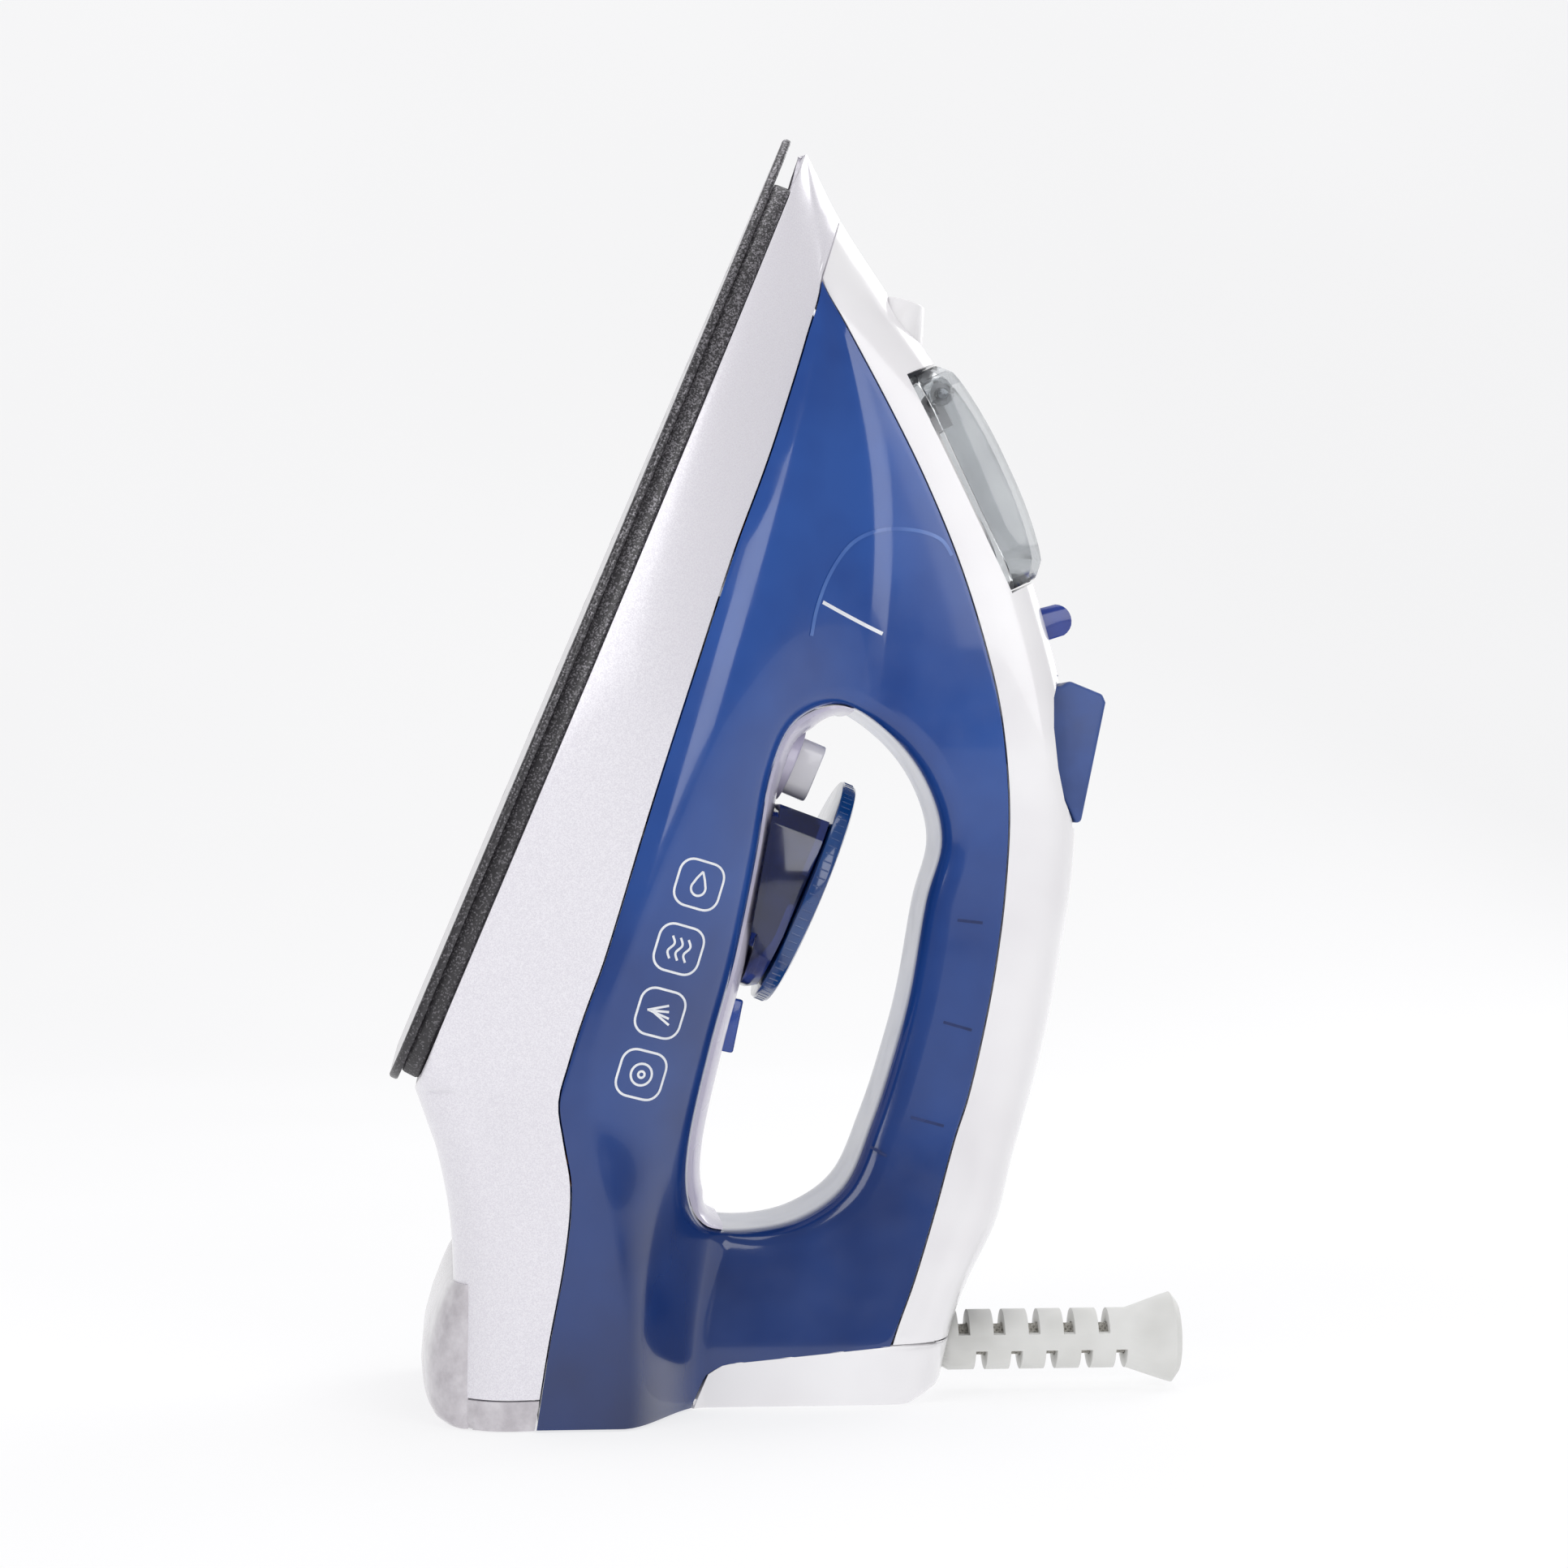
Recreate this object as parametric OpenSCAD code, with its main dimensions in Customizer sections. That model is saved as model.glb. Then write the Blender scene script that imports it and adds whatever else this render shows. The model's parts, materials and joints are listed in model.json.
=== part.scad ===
// Steam iron standing on its heel. The nose points up +Z, the handle is towards +X and the
// soleplate faces -X. The origin is on the flat heel, in the middle plane.

/* [Overall] */
// Length of the soleplate from heel to nose
sole_length = 222; // [190:1:260]
// Greatest width of the soleplate
sole_width = 108; // [92:1:124]
// Width of the handle where a hand holds it
handle_width = 35; // [30:1:42]
// Wall of the moulded shells
wall = 2.2; // [1.6:0.1:2.8]
// Visible seam between two shells
seam_gap = 0.4; // [0.2:0.1:0.8]

/* [Soleplate and heater] */
// Thickness of the coated soleplate
plate_t = 2.2; // [1.6:0.1:3]
// Visible height of the heater casting above the plate
casting_h = 4; // [3:0.5:6]
// How far the casting stops behind the plate's nose
casting_setback = 10; // [6:1:14]
// Diameter of the steam holes
steam_hole_d = 3; // [2:0.1:4]
// Diameter of the heating tube
heater_d = 6.5; // [5:0.1:8]
// Running gap between parts that are assembled by hand
fit_gap = 0.15; // [0.1:0.05:0.3]
// Gap between a moving part and what it moves past
move_gap = 0.5; // [0.4:0.1:1]

/* [Thermostat dial] */
// Diameter of the dial cap
dial_d = 52; // [44:1:56]
// Height of the dial cap
dial_h = 4; // [3:0.5:6]
// Diameter of the dial shaft
shaft_d = 6; // [5:0.5:7]

/* [Buttons and lever] */
// Stroke of the spray and steam buttons
button_stroke = 4; // [3:0.5:5]
// Gap between the two buttons
button_split = 1.2; // [1:0.1:2]
// Bore of a pump barrel
pump_bore_d = 7; // [5:0.5:8]
// Wire of the button springs
spring_wire_d = 0.7; // [0.5:0.1:0.9]
// Diameter of the steam lever's disc
lever_d = 13; // [10:1:15]
// Diameter of the steam valve rod
rod_d = 4; // [3:0.5:5]
// Stroke of the self-clean button
clean_stroke = 3; // [2:0.5:4]

/* [Filler lid] */
// Width of the transparent filler lid
lid_w = 27; // [22:1:29]
// Wall of the filler lid
lid_wall = 1.6; // [1.2:0.1:2]
// Diameter of the lid's hinge pin
lid_pin_d = 2.4; // [2:0.1:3]

/* [Cord outlet] */
// Diameter of the swivel drum that holds the cord guard
drum_d = 16; // [14:0.5:17]
// Outside diameter of the slotted cord guard
guard_d = 13.3; // [11:0.1:14]
// Diameter of the flared mouth of the guard
mouth_d = 20; // [16:0.5:21]
// Length of the slotted guard outside the housing
guard_len = 50; // [40:1:60]
// Diameter of the braided cord
cord_d = 7; // [5.5:0.1:7.5]
// Number of slots on each side of the guard
slot_count = 5; // [3:1:6]

/* [Hidden] */
$fn = 48;

// ---- Frame: everything scales with the soleplate, whose face leans back by tilt ----
tilt = 22.9;
k = sole_length / 222;
heel_x = -62.7 * k;
heel_z = 73.2 * k;
half_sole = sole_width / 2;
half_handle = handle_width / 2;
rim_v = plate_t + casting_h;
rear_r = 14 * k;
big = 400;

// A place (u along the sole from heel to nose, v away from its face) as [x, z]
function lean(u, v) = [heel_x + u * sin(tilt) + v * cos(tilt), heel_z + u * cos(tilt) - v * sin(tilt)];
// Half width of the soleplate outline at u
function sole_half(u) =
  let(front = 165 * k, d = max(0, sole_length - u), rear = sole_length - front)
  let(base = d < front ? half_sole * pow(max(0, 1 - pow(1 - d / front, 2)), 0.8)
                       : half_sole * (1 - 0.07 * pow((rear - u) / rear, 2)))
  u >= rear_r ? base : base - rear_r + sqrt(max(0, pow(rear_r, 2) - pow(rear_r - max(0, u), 2)));

// ---- Smooth curves through a few chosen points ----
function seg_of(t, z, i = 0) = (i >= len(t) - 2 || z < t[i + 1][0]) ? i : seg_of(t, z, i + 1);
function slope_of(t, i) =
  let(a = max(0, i - 1), b = min(len(t) - 1, i + 1)) (t[b][1] - t[a][1]) / (t[b][0] - t[a][0]);
function hermite(p, q, m, n, s) =
  (2 * s * s * s - 3 * s * s + 1) * p + (s * s * s - 2 * s * s + s) * m
  + (3 * s * s - 2 * s * s * s) * q + (s * s * s - s * s) * n;
function along(t, z) =
  let(i = seg_of(t, z), h = t[i + 1][0] - t[i][0], s = (z - t[i][0]) / h)
  s < 0 ? t[0][1] : s > 1 ? t[i + 1][1]
  : hermite(t[i][1], t[i + 1][1], slope_of(t, i) * h, slope_of(t, i + 1) * h, s);
function ring_curve(p, n) = let(c = len(p)) [
  for (i = [0 : c - 1]) for (j = [0 : n - 1])
    let(a = p[(i + c - 1) % c], b = p[i], d = p[(i + 1) % c], e = p[(i + 2) % c], s = j / n)
    hermite(b, d, (d - a) / 2, (e - b) / 2, s)
];
function smooth(t) = let(c = max(0, min(1, t))) c * c * (3 - 2 * c);

// ---- The iron's outer form: at each height z, half width y against x ----
// Outer silhouette of the handle and top, [z, x]
crown_t = [[0, 52], [3, 57], [8, 58.6], [16.6, 60.7], [25.6, 64.3], [38, 70.6], [52, 74.3], [67, 78.6],
  [82, 82.3], [98.5, 85.3], [112, 87.4], [126, 88.3], [142, 87.3], [158, 84.6], [175, 80], [191, 75],
  [208, 67.7], [227, 57.8], [243, 47.2], [259.6, 36.4], [274.4, 28.9]];
// Seam between the skirt and the tank, [z, x]
skirt_t = [[0, -31.9], [17, -29.2], [36, -25.7], [50, -24.5], [60, -26], [68, -27], [76, -25], [86, -21.8],
  [98, -17.4], [128, -8.2], [155, 0.6], [184, 10.4], [202, 17.4], [216, 22.3], [231, 27.2],
  [244.5, 31], [259.6, 29.8], [274.4, 28.7]];
// Seam between the tank and the top cover, [z, x]
cover_t = [[0, 43], [12.7, 45.5], [26, 50.4], [41, 55.2], [57, 59.8], [66, 62.8], [82, 66.6], [95, 69],
  [110, 70.9], [128, 71.8], [146, 70.4], [160, 67.6], [181, 61.2], [200, 53.5], [217, 45.3],
  [235, 36], [244.5, 31.2], [259.6, 30.2], [274.4, 28.75]];
// Where the body's shoulder starts and ends between those seams, [z, x]
shoulder_t = [[0, -14], [20, -14], [45, -18], [70, -22], [98, -14], [150, 2], [200, 18], [244, 31.1],
  [274.4, 28.7]];
waist_t = [[0, 5], [20, 6], [45, 14], [95, 34], [150, 43], [200, 45], [244, 34], [274.4, 28.74]];
// Left edge below the soleplate, [z, x]
rear_t = [[0, -49.1], [9, -49.1], [30, -48.9], [43.7, -49.7], [57.3, -52.3], [64, -54.6], [70.8, -57]];
// Half width at the skirt seam as a share of half the sole, and at the cover seam of half the handle
skirt_w_t = [[0, 0.89], [36, 0.88], [98, 0.87], [128, 0.85], [155, 0.8], [184, 0.69], [202, 0.58],
  [216, 0.48], [231, 0.37], [244.5, 0.26], [259.6, 0.15], [274.4, 0.012]];
cover_w_t = [[0, 1.26], [12, 1.26], [26, 1.17], [40, 1.09], [60, 1], [100, 0.97], [122, 1], [145, 1.06],
  [180, 1.09], [208, 1.03], [226, 0.92], [243, 0.77], [259.6, 0.44], [274.4, 0.03]];
// The hand opening, as points round its edge [x, z]
hand_p = [[35, 151.5], [46, 145], [54, 134.5], [57.4, 122], [54, 108.5], [50.5, 89], [46.5, 74],
  [42, 60.5], [36, 47], [26, 39.8], [14, 37.5], [5, 39], [1.2, 46], [1.5, 58], [6, 78], [11, 97],
  [15.5, 119], [18.5, 136], [24, 147.5]];

function crown_x(z) = k * along(crown_t, z / k);
function skirt_x(z) = k * along(skirt_t, z / k);
function cover_x(z) = k * along(cover_t, z / k);
function rim_u(z) = (z - heel_z + rim_v * sin(tilt)) / cos(tilt);
function rim_x(z) = rim_u(z) > 0 ? lean(rim_u(z), rim_v)[0] : k * along(rear_t, z / k);
function corner_r(z) =
  let(u = rim_u(z)) u <= 0 ? rear_r : u >= rear_r ? 0 : rear_r - sqrt(pow(rear_r, 2) - pow(rear_r - u, 2));
function low_half(z) = rim_u(z) > 0 ? sole_half(rim_u(z)) + corner_r(z) - 0.6 : half_sole * 0.92;

// Rounded fall of the half width from the cover seam, s = 0, to the crown, s = 1
function crown_curve(s, p) = pow(max(0, 1 - pow(min(1, s), p)), 1 / (0.3 + 0.7 * p));
// Half width at x on the slice at height z, for a form drawn in by inset all round
function half_at(x, z, inset = 0) =
  let(xa = rim_x(z), xb = skirt_x(z), xc = cover_x(z), xd = crown_x(z) - 1.1 * inset)
  let(yb = half_sole * along(skirt_w_t, z / k), yc = half_handle * along(cover_w_t, z / k))
  let(round_p = 1.25 + 2.35 * smooth((250 - z / k) / 50))
  let(s0 = k * along(shoulder_t, z / k), s1 = k * along(waist_t, z / k))
  let(y = x < xb ? low_half(z) + (yb - low_half(z)) * pow(max(0, (x - xa) / (xb - xa)), 1.25)
        : x < xc ? yc + (yb - yc) * (1 - smooth((x - s0) / max(0.1, s1 - s0)))
        : inset + (yc - inset) * crown_curve((x - xc) / max(0.05, xd - xc), round_p))
  let(r = corner_r(z), d = max(0, x - xa - inset))
  max(0, y - inset - (d < r ? r - sqrt(max(0, r * r - pow(r - d, 2))) : 0));

// x stations of one slice: rear corner, skirt, shoulder and crown, evened out towards the nose
function stations(z, inset) =
  let(open = rim_u(z) > -2, xa = rim_x(z) + (inset > 0 ? (open ? -1 : inset) : 0))
  let(xb = skirt_x(z), xc = cover_x(z), xd = crown_x(z) - 1.1 * inset, e = max(corner_r(z), 0.2 * (xb - xa)))
  let(s = concat([for (i = [0 : 3]) xa + e * (1 - cos(i * 22.5))],
                 [for (i = [0 : 2]) xa + e + (xb - xa - e) * i / 3],
                 [for (i = [0 : 7]) xb + (xc - xb) * (i + 0.5) / 8],
                 [for (i = [1 : 7]) xc + (xd - xc) * sin(i * 90 / 7)]))
  let(n = len(s) - 1, even = smooth((z / k - 205) / 30))
  [for (i = [0 : n]) s[i] + even * (xa + (xd - xa) * sin(i * 90 / n) - s[i])];
function slice(z, inset) =
  let(s = stations(z, inset), n = len(s))
  concat([for (i = [0 : n - 2]) [s[i], -half_at(s[i], z, inset), z]], [[s[n - 1], 0, z]],
         [for (i = [n - 2 : -1 : 0]) [s[i], half_at(s[i], z, inset), z]]);

module loft(rings) {
  n = len(rings[0]);
  m = len(rings);
  polyhedron(
    points = [for (r = rings) for (p = r) p],
    faces = concat([[for (i = [0 : n - 1]) i]],
      [for (j = [0 : m - 2]) for (i = [0 : n - 1]) let(a = j * n, b = a + n, q = (i + 1) % n)
        [a + i, b + i, b + q, a + q]],
      [[for (i = [n - 1 : -1 : 0]) (m - 1) * n + i]]),
    convexity = 6);
}
levels = concat([0, 3, 7, 12], [for (i = [1 : 36]) 12 + i * 7], [269, 273.5]);
module form() loft([for (z = levels) slice(z * k, 0)]);
module form_core(t) loft([
  for (z = concat([t / k], [for (q = levels) if (q * k > t + 0.5) q])) if (z < 256) slice(z * k, t)
]);

// A side view outline as a slab across the iron, w wide
module side(pts, w = big) rotate([90, 0, 0]) linear_extrude(w, center = true) polygon(pts);
// The same, with the outline moved out by grow
module side_grown(pts, grow, w = big)
  rotate([90, 0, 0]) linear_extrude(w, center = true) offset(delta = grow) polygon(pts);
// One moulded shell, kept as one mesh at its true size
module moulded(shade) color(shade) resize([0, 0, 0]) children();
// A frame on the sole: X is height above its face, Z runs to the nose
module on_sole(u = 0, y = 0) translate([heel_x, 0, heel_z]) rotate([0, tilt, 0]) translate([0, y, u])
  children();
// Round bar that runs away from the sole
module post(v, h, d) translate([v, 0, 0]) rotate([0, 90, 0]) cylinder(h = h, d = d);
// Plate parallel to the sole, from height v, t thick, drawn in by inset and cut off at u = cut
module sole_slab(v, t, inset, from = 0, to = 1) translate([v, 0, 0]) rotate([0, 90, 0])
  linear_extrude(t) polygon(concat(
    [for (i = [0 : slab_n]) let(u = slab_u(i, from, to)) [-u, -slab_half(u, inset)]],
    [for (i = [slab_n : -1 : 0]) let(u = slab_u(i, from, to)) [-u, slab_half(u, inset)]]));
function slab_half(u, inset) = max(0.3, sole_half(u + inset) - inset);
slab_n = 36;
function slab_u(i, from, to) =
  let(s = i / slab_n) sole_length * (from + (to - from) * (0.5 - 0.5 * cos(180 * s)));

hand_ring = k * ring_curve(hand_p, 4);
top_seam = [36.4 * k, 259.6 * k];
top_far = [90 * k, 410 * k];
rear_line = [[2, 0], [5.3, 7.4], [9, 9.4], [45, 12.7], [90, 15]] * k;
seam_n = 40;
function seam_z(from, i) = k * (from + (244.5 - from) * i / seam_n);
skirt_seam = [for (i = [0 : seam_n]) [skirt_x(seam_z(6.5, i)), seam_z(6.5, i)]];
skirt_seam_low = [for (i = [0 : seam_n]) [skirt_x(seam_z(0, i)), seam_z(0, i)]];
cover_seam = [for (i = [0 : seam_n]) [cover_x(seam_z(12.7, i)), seam_z(12.7, i)]];

module hand_hole(grow = 0) side_grown(hand_ring, grow);
// The hollow form with a wall all round; children are kept solid inside it
module shell_body() difference() {
  form();
  difference() {
    form_core(wall);
    hand_hole(wall);
    children();
  }
  hand_hole();
}

// ---- Sole group ----
vent_rows = [[178, 0, 0], [168, 9, 0], [156, 15, 0], [142, 22, 0], [128, 41, 0], [112, 44, 0], [96, 45, 0],
  [80, 45.5, 0], [64, 45, 0], [190, 4, 0], [150, 6, 0]] * k;
module vents(d) for (p = vent_rows) for (s = [-1, 1]) if (p[1] > 0 || s > 0)
  on_sole(p[0], s * p[1] * half_sole / (54 * k)) post(-1, heater_v + 30, d);
heater_v = plate_t + 1 + heater_d / 2;
chamber_v = heater_v + heater_d / 2 + 1;
casting_top = chamber_v + 5.5;
seal_t = 1;
cover_plate_t = 1.2;
cover_v = casting_top + seal_t;
floor_v = cover_v + cover_plate_t + 8;
loop_r = 34 * sole_width / 108;
loop_u = 96 * k;
terminal_u = 6 * k;
screw_d = 4;
screw_inset = 11.5;
cover_screws = [for (u = [30, 92, 156]) for (s = [-1, 1])
  [u * k, s * (sole_half(u * k + screw_inset) - screw_inset)]];

module soleplate() color("gainsboro") difference() {
  on_sole() sole_slab(0, plate_t, 0);
  vents(steam_hole_d);
}
// U-shaped heating tube, its axis in the casting, grown by gap for its groove
module heater_path(gap) on_sole() translate([heater_v, 0, 0]) {
  for (s = [-1, 1]) {
    translate([0, s * loop_r, terminal_u]) cylinder(h = loop_u - terminal_u, d = heater_d + 2 * gap);
    translate([0, s * loop_r, terminal_u]) sphere(d = heater_d + 2 * gap);
    translate([0, s * loop_r, terminal_u]) rotate([0, 90, 0])
      cylinder(h = casting_top - heater_v + (gap > 0 ? 1 : 7), d = heater_d / 2 + 2 * gap);
  }
  translate([0, 0, loop_u]) rotate([0, -90, 0]) rotate([0, 0, -90]) rotate_extrude(angle = 180)
    translate([loop_r, 0]) circle(d = heater_d + 2 * gap);
}
module heating_element() color("dimgray") heater_path(0);
module heater_casting() color("#3a373c") difference() {
  on_sole() union() {
    sole_slab(plate_t, casting_h, 1.6, 0.0075, (sole_length - casting_setback) / sole_length);
    sole_slab(rim_v - 0.01, casting_top - rim_v + 0.01, block_inset, 0.042, 0.87);
  }
  on_sole() sole_slab(chamber_v, big, block_inset + 6, 0.09, 0.82);
  heater_path(fit_gap);
  vents(steam_hole_d);
  for (p = cover_screws) on_sole(p[0], p[1]) post(chamber_v - 3, 10, screw_d - 0.8);
}
block_inset = 8.6;
module chamber_seal() color("orangered") difference() {
  on_sole() sole_slab(casting_top, seal_t, block_inset + 0.3, 0.046, 0.865);
  on_sole() sole_slab(casting_top - 1, seal_t + 2, block_inset + 5.6, 0.086, 0.825);
  for (p = cover_screws) on_sole(p[0], p[1]) post(casting_top - 1, 3, screw_d - 0.8);
}
module chamber_cover() color("silver") difference() {
  on_sole() sole_slab(cover_v, cover_plate_t, block_inset + 0.3, 0.046, 0.865);
  for (p = cover_screws) on_sole(p[0], p[1]) post(cover_v - 1, 4, screw_d - 0.6);
  on_sole(rod_u) post(cover_v - 1, 4, rod_d + 1);
  on_sole(steam_in[0], steam_in[1]) post(cover_v - 1, 4, tube_d + 0.6);
}
module chamber_screws() color("slategray") for (p = cover_screws) on_sole(p[0], p[1]) {
  post(chamber_v - 2.8, cover_v + cover_plate_t - chamber_v + 2.9, screw_d - 1);
  post(cover_v + cover_plate_t, 1.8, screw_d + 3);
}

// ---- Moulded shells ----
skirt_mask = concat(skirt_seam, [top_seam, top_far], [[-200, 410], [-200, 6.5]] * k);
tank_mask = concat([for (i = [seam_n : -1 : 0]) skirt_seam_low[i]], [[-31.9, -5], [2, -5]] * k,
  [for (i = [0 : 3]) rear_line[i]], cover_seam);
cover_mask = concat(cover_seam, [top_seam, top_far], [[190, 410], [190, 20], [90, 15], [45, 12.7]] * k);
rear_mask = concat(rear_line, [[90, -5], [2, -5]] * k);

module shell_part(mask) intersection() {
  shell_body() children();
  side_grown(mask, -seam_gap / 2);
}
module skirt() moulded("#e4e0e6") shell_part(skirt_mask);

ceiling_from = 178;
module water_tank() moulded("#2a50a0") difference() {
  shell_part(tank_mask)
    side(concat([for (z = [ceiling_from : 9 : 232]) [cover_x(z * k) - 2 * wall, z * k]],
                [for (z = [232 : -9 : ceiling_from]) [cover_x(z * k) + 1, z * k]]));
  on_lid() translate([-40, 0, inlet_z]) rotate([0, 90, 0]) cylinder(h = 80, d = inlet_d + 2 * fit_gap);
  dial_stem(shaft_d + 4);
  clean_stem(clean_d + 2 * fit_gap, 16);
  drum_room(0.4);
}
module tank_floor() moulded("#5577bb") difference() {
  intersection() {
    form_core(wall + 0.3);
    on_sole(9 * k) translate([floor_v, -big / 2, 0]) cube([2, big, 153 * k]);
  }
  on_sole(dial_u) post(floor_v - 2, 6, therm_d + 1);
  on_sole(rod_u) post(floor_v - 2, 6, seal_d + 0.6);
  on_sole(steam_in[0], steam_in[1]) post(floor_v - 2, 6, tube_d + 0.6);
  clean_stem(clean_rod_d + 1);
}
module top_cover() moulded("white") difference() {
  shell_part(cover_mask)
    on_lever() translate([-5, 0, 0]) rotate([0, 90, 0]) cylinder(h = 12, d = lever_d + 5);
  on_lid() translate([-lid_depth - move_gap, -big / 2, -lid_len / 2 - move_gap])
    cube([30, big, lid_len + 2 * move_gap]);
  on_lid() translate([lid_pivot[0], 0, lid_pivot[1]]) rotate([90, 0, 0])
    cylinder(h = lid_w + 2 * move_gap, r = lid_nose_r + move_gap, center = true);
  on_button() side(button_window);
  on_button() side(button_well, 2 * (button_half + move_gap));
  on_lever() translate([-2.2, 0, 0]) rotate([0, 90, 0]) cylinder(h = 12, d = lever_d + 2 * move_gap);
  on_lever() translate([-20, 0, 0]) rotate([0, 90, 0]) cylinder(h = 30, d = lever_shaft_d + 0.1);
  nozzle_body(0.1);
  on_nozzle() translate([0, 0, -30]) cylinder(h = 30, d = tube_d + 1);
  guard_slot();
  drum_room(0.4);
}
module heel_cover() moulded("#c9c4c9") {
  intersection() {
    shell_body();
    side_grown([[skirt_x(0), -5], [skirt_x(6.5 * k), 6.5 * k], [-200, 6.5 * k], [-200, -5]], -seam_gap);
  }
  intersection() {
    side(bumper_pts);
    translate([0, 0, -1]) linear_extrude(40 * k) polygon(bumper_plan);
  }
}
bumper_pts = [[-47.4, 0.1], [-49.3, 0], [-53.4, 1.6], [-55.3, 5.7], [-55.9, 11], [-55.5, 16],
  [-54.2, 21.1], [-52.1, 26.4], [-49.4, 30.2], [-49.4, 6.1], [-47.4, 6.1]] * k;
bumper_half = half_sole * 0.82;
bumper_plan = concat([[-46 * k, -bumper_half]], [for (i = [-10 : 10]) let(s = i / 10)
  [-49.4 * k - 7 * k * pow(max(0, 1 - pow(abs(s), 3)), 0.5), s * bumper_half]], [[-46 * k, bumper_half]]);
module rear_cover() moulded("#eceaee") difference() {
  shell_part(rear_mask);
  guard_slot();
  drum_room(0.4);
  for (x = rear_screw_x) translate([x, 0, -1]) cylinder(h = 8, d = screw_d + 0.6);
  for (x = rear_screw_x) translate([x, 0, -1]) cylinder(h = 2, d = screw_d + 4);
}
rear_screw_x = [10, 30] * k;
module rear_screws() color("slategray") for (x = rear_screw_x) translate([x, 0, 0]) {
  translate([0, 0, 0.3]) cylinder(h = 0.7, d = screw_d + 3);
  translate([0, 0, 0.9]) cylinder(h = 6, d = screw_d);
}

// ---- Saddle between the tank and the dial ----
saddle_half = 21;
saddle_rise = 4;
function drawn_in(p, d) = let(n = len(p)) [for (i = [0 : n - 1])
  let(t = p[(i + 1) % n] - p[(i + n - 1) % n], m = norm(t)) p[i] + d * [t[1], -t[0]] / m];
saddle_from = 42;
saddle_to = 77;
saddle_outer = [for (i = [saddle_from : saddle_to]) drawn_in(hand_ring, 0.2)[i % len(hand_ring)]];
module saddle_band(rise) side(concat(saddle_outer, [for (i = [saddle_to : -1 : saddle_from])
  drawn_in(hand_ring, rise)[i % len(hand_ring)]]), 2 * saddle_half);
module saddle_cover() color("#cfc8dc") difference() {
  saddle_band(saddle_rise);
  dial_stem(shaft_d + 1);
  clean_stem(clean_d + 2 * fit_gap, 16);
  translate([lens_at[0], 0, lens_at[1]]) rotate([0, deck_tilt, 0])
    cube([30, lens_w + 0.2, lens_l + 0.2], center = true);
}

// ---- Dial: its axis stands square to the soleplate ----
dial_u = 69.7 * k;
dial_v = 67.5 * k;
therm_d = 24;
module dial_stem(d) on_sole(dial_u) post(therm_top + 1, dial_v - therm_top - 1, d);
module dial_cap() color("#0d2f66") difference() {
  on_sole(dial_u) translate([dial_v, 0, 0]) rotate([0, 90, 0]) rotate_extrude($fn = 72)
    polygon([[0, 0], [dial_d / 2 - 1, 0], [dial_d / 2, 1], [dial_d / 2, dial_h - 2.2],
      [dial_d / 2 - 2, dial_h - 0.8], [0, dial_h]]);
  on_sole(dial_u) post(dial_v - 0.01, 2, shaft_d + 0.04);
}
module dial_shaft() color("gray") on_sole(dial_u)
  post(therm_top + 0.2, dial_v + 1.9 - therm_top - 0.2, shaft_d);
therm_top = cover_v + cover_plate_t + 6;
module thermostat() color("tan") on_sole(dial_u) difference() {
  union() {
    post(cover_v + cover_plate_t, 6, therm_d);
    translate([cover_v + cover_plate_t, -7, -18]) cube([1, 14, 36]);
  }
  post(therm_top - 2, 4, shaft_d + 1);
}
module thermal_fuse() color("khaki") on_sole(dial_u - 34 * k) {
  translate([cover_v + cover_plate_t, -11, -2]) cube([1, 22, 4]);
  translate([cover_v + cover_plate_t + 1 + 2.5, -9, 0]) rotate([-90, 0, 0]) cylinder(h = 18, d = 5);
}
shroud_half = 22;
shroud_v = dial_v - move_gap;
module dial_shroud() color("#1a2450") difference() {
  intersection() {
    side([lean(85 * k, 54 * k), lean(85.6 * k, shroud_v), lean(47 * k, shroud_v),
      lean(44.6 * k, shroud_v - 2.6), lean(44 * k, 63 * k)], 2 * shroud_half);
    on_sole(dial_u) post(40 * k, 40 * k, dial_d - 3);
  }
  dial_stem(shaft_d + 1);
  saddle_band(saddle_rise + 0.2);
  intersection() {
    on_sole(dial_u) post(40 * k, shroud_v - 41.7 * k, dial_d - 7);
    side([lean(83 * k, 50 * k), lean(83.6 * k, shroud_v - 1.5), lean(58 * k, shroud_v - 1.5),
      lean(52 * k, shroud_v - 3.8)], 2 * shroud_half - 4);
  }
}

// ---- Self-clean button on its collar ----
clean_u = 94.6 * k;
clean_d = 17;
clean_rod_d = 4;
clean_v = 56 * k;
module clean_stem(d, from = 0) on_sole(clean_u) post(cover_v + 4 + from, clean_v - cover_v - from, d);
key_l = 13;
key_w = 9;
key_r = 3;
module key_block(from, h, gap) translate([from, 0, 0]) rotate([0, 90, 0]) linear_extrude(h)
  polygon(lozenge(key_l / 2 + gap, key_w / 2 + gap, key_r));
module clean_button() color("white") on_sole(clean_u) {
  key_block(clean_v - 0.8, 6.3, 0);
  post(clean_v - clean_stroke - 2.2, clean_stroke + 2, clean_d - 9);
}
module clean_collar() color("#b9b0cc") on_sole(clean_u) difference() {
  post(clean_v - clean_stroke - 4, clean_stroke + 4, clean_d);
  post(clean_v - clean_stroke - 5, clean_stroke + 6, clean_d - 9 + 2 * move_gap);
  key_block(clean_v - clean_stroke - 1.6, clean_stroke + 3, move_gap);
}
module clean_rod() color("silver") on_sole(clean_u)
  post(cover_v + cover_plate_t + clean_stroke + 1,
    clean_v - 2 * clean_stroke - cover_v - cover_plate_t - 3.2, clean_rod_d);

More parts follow.
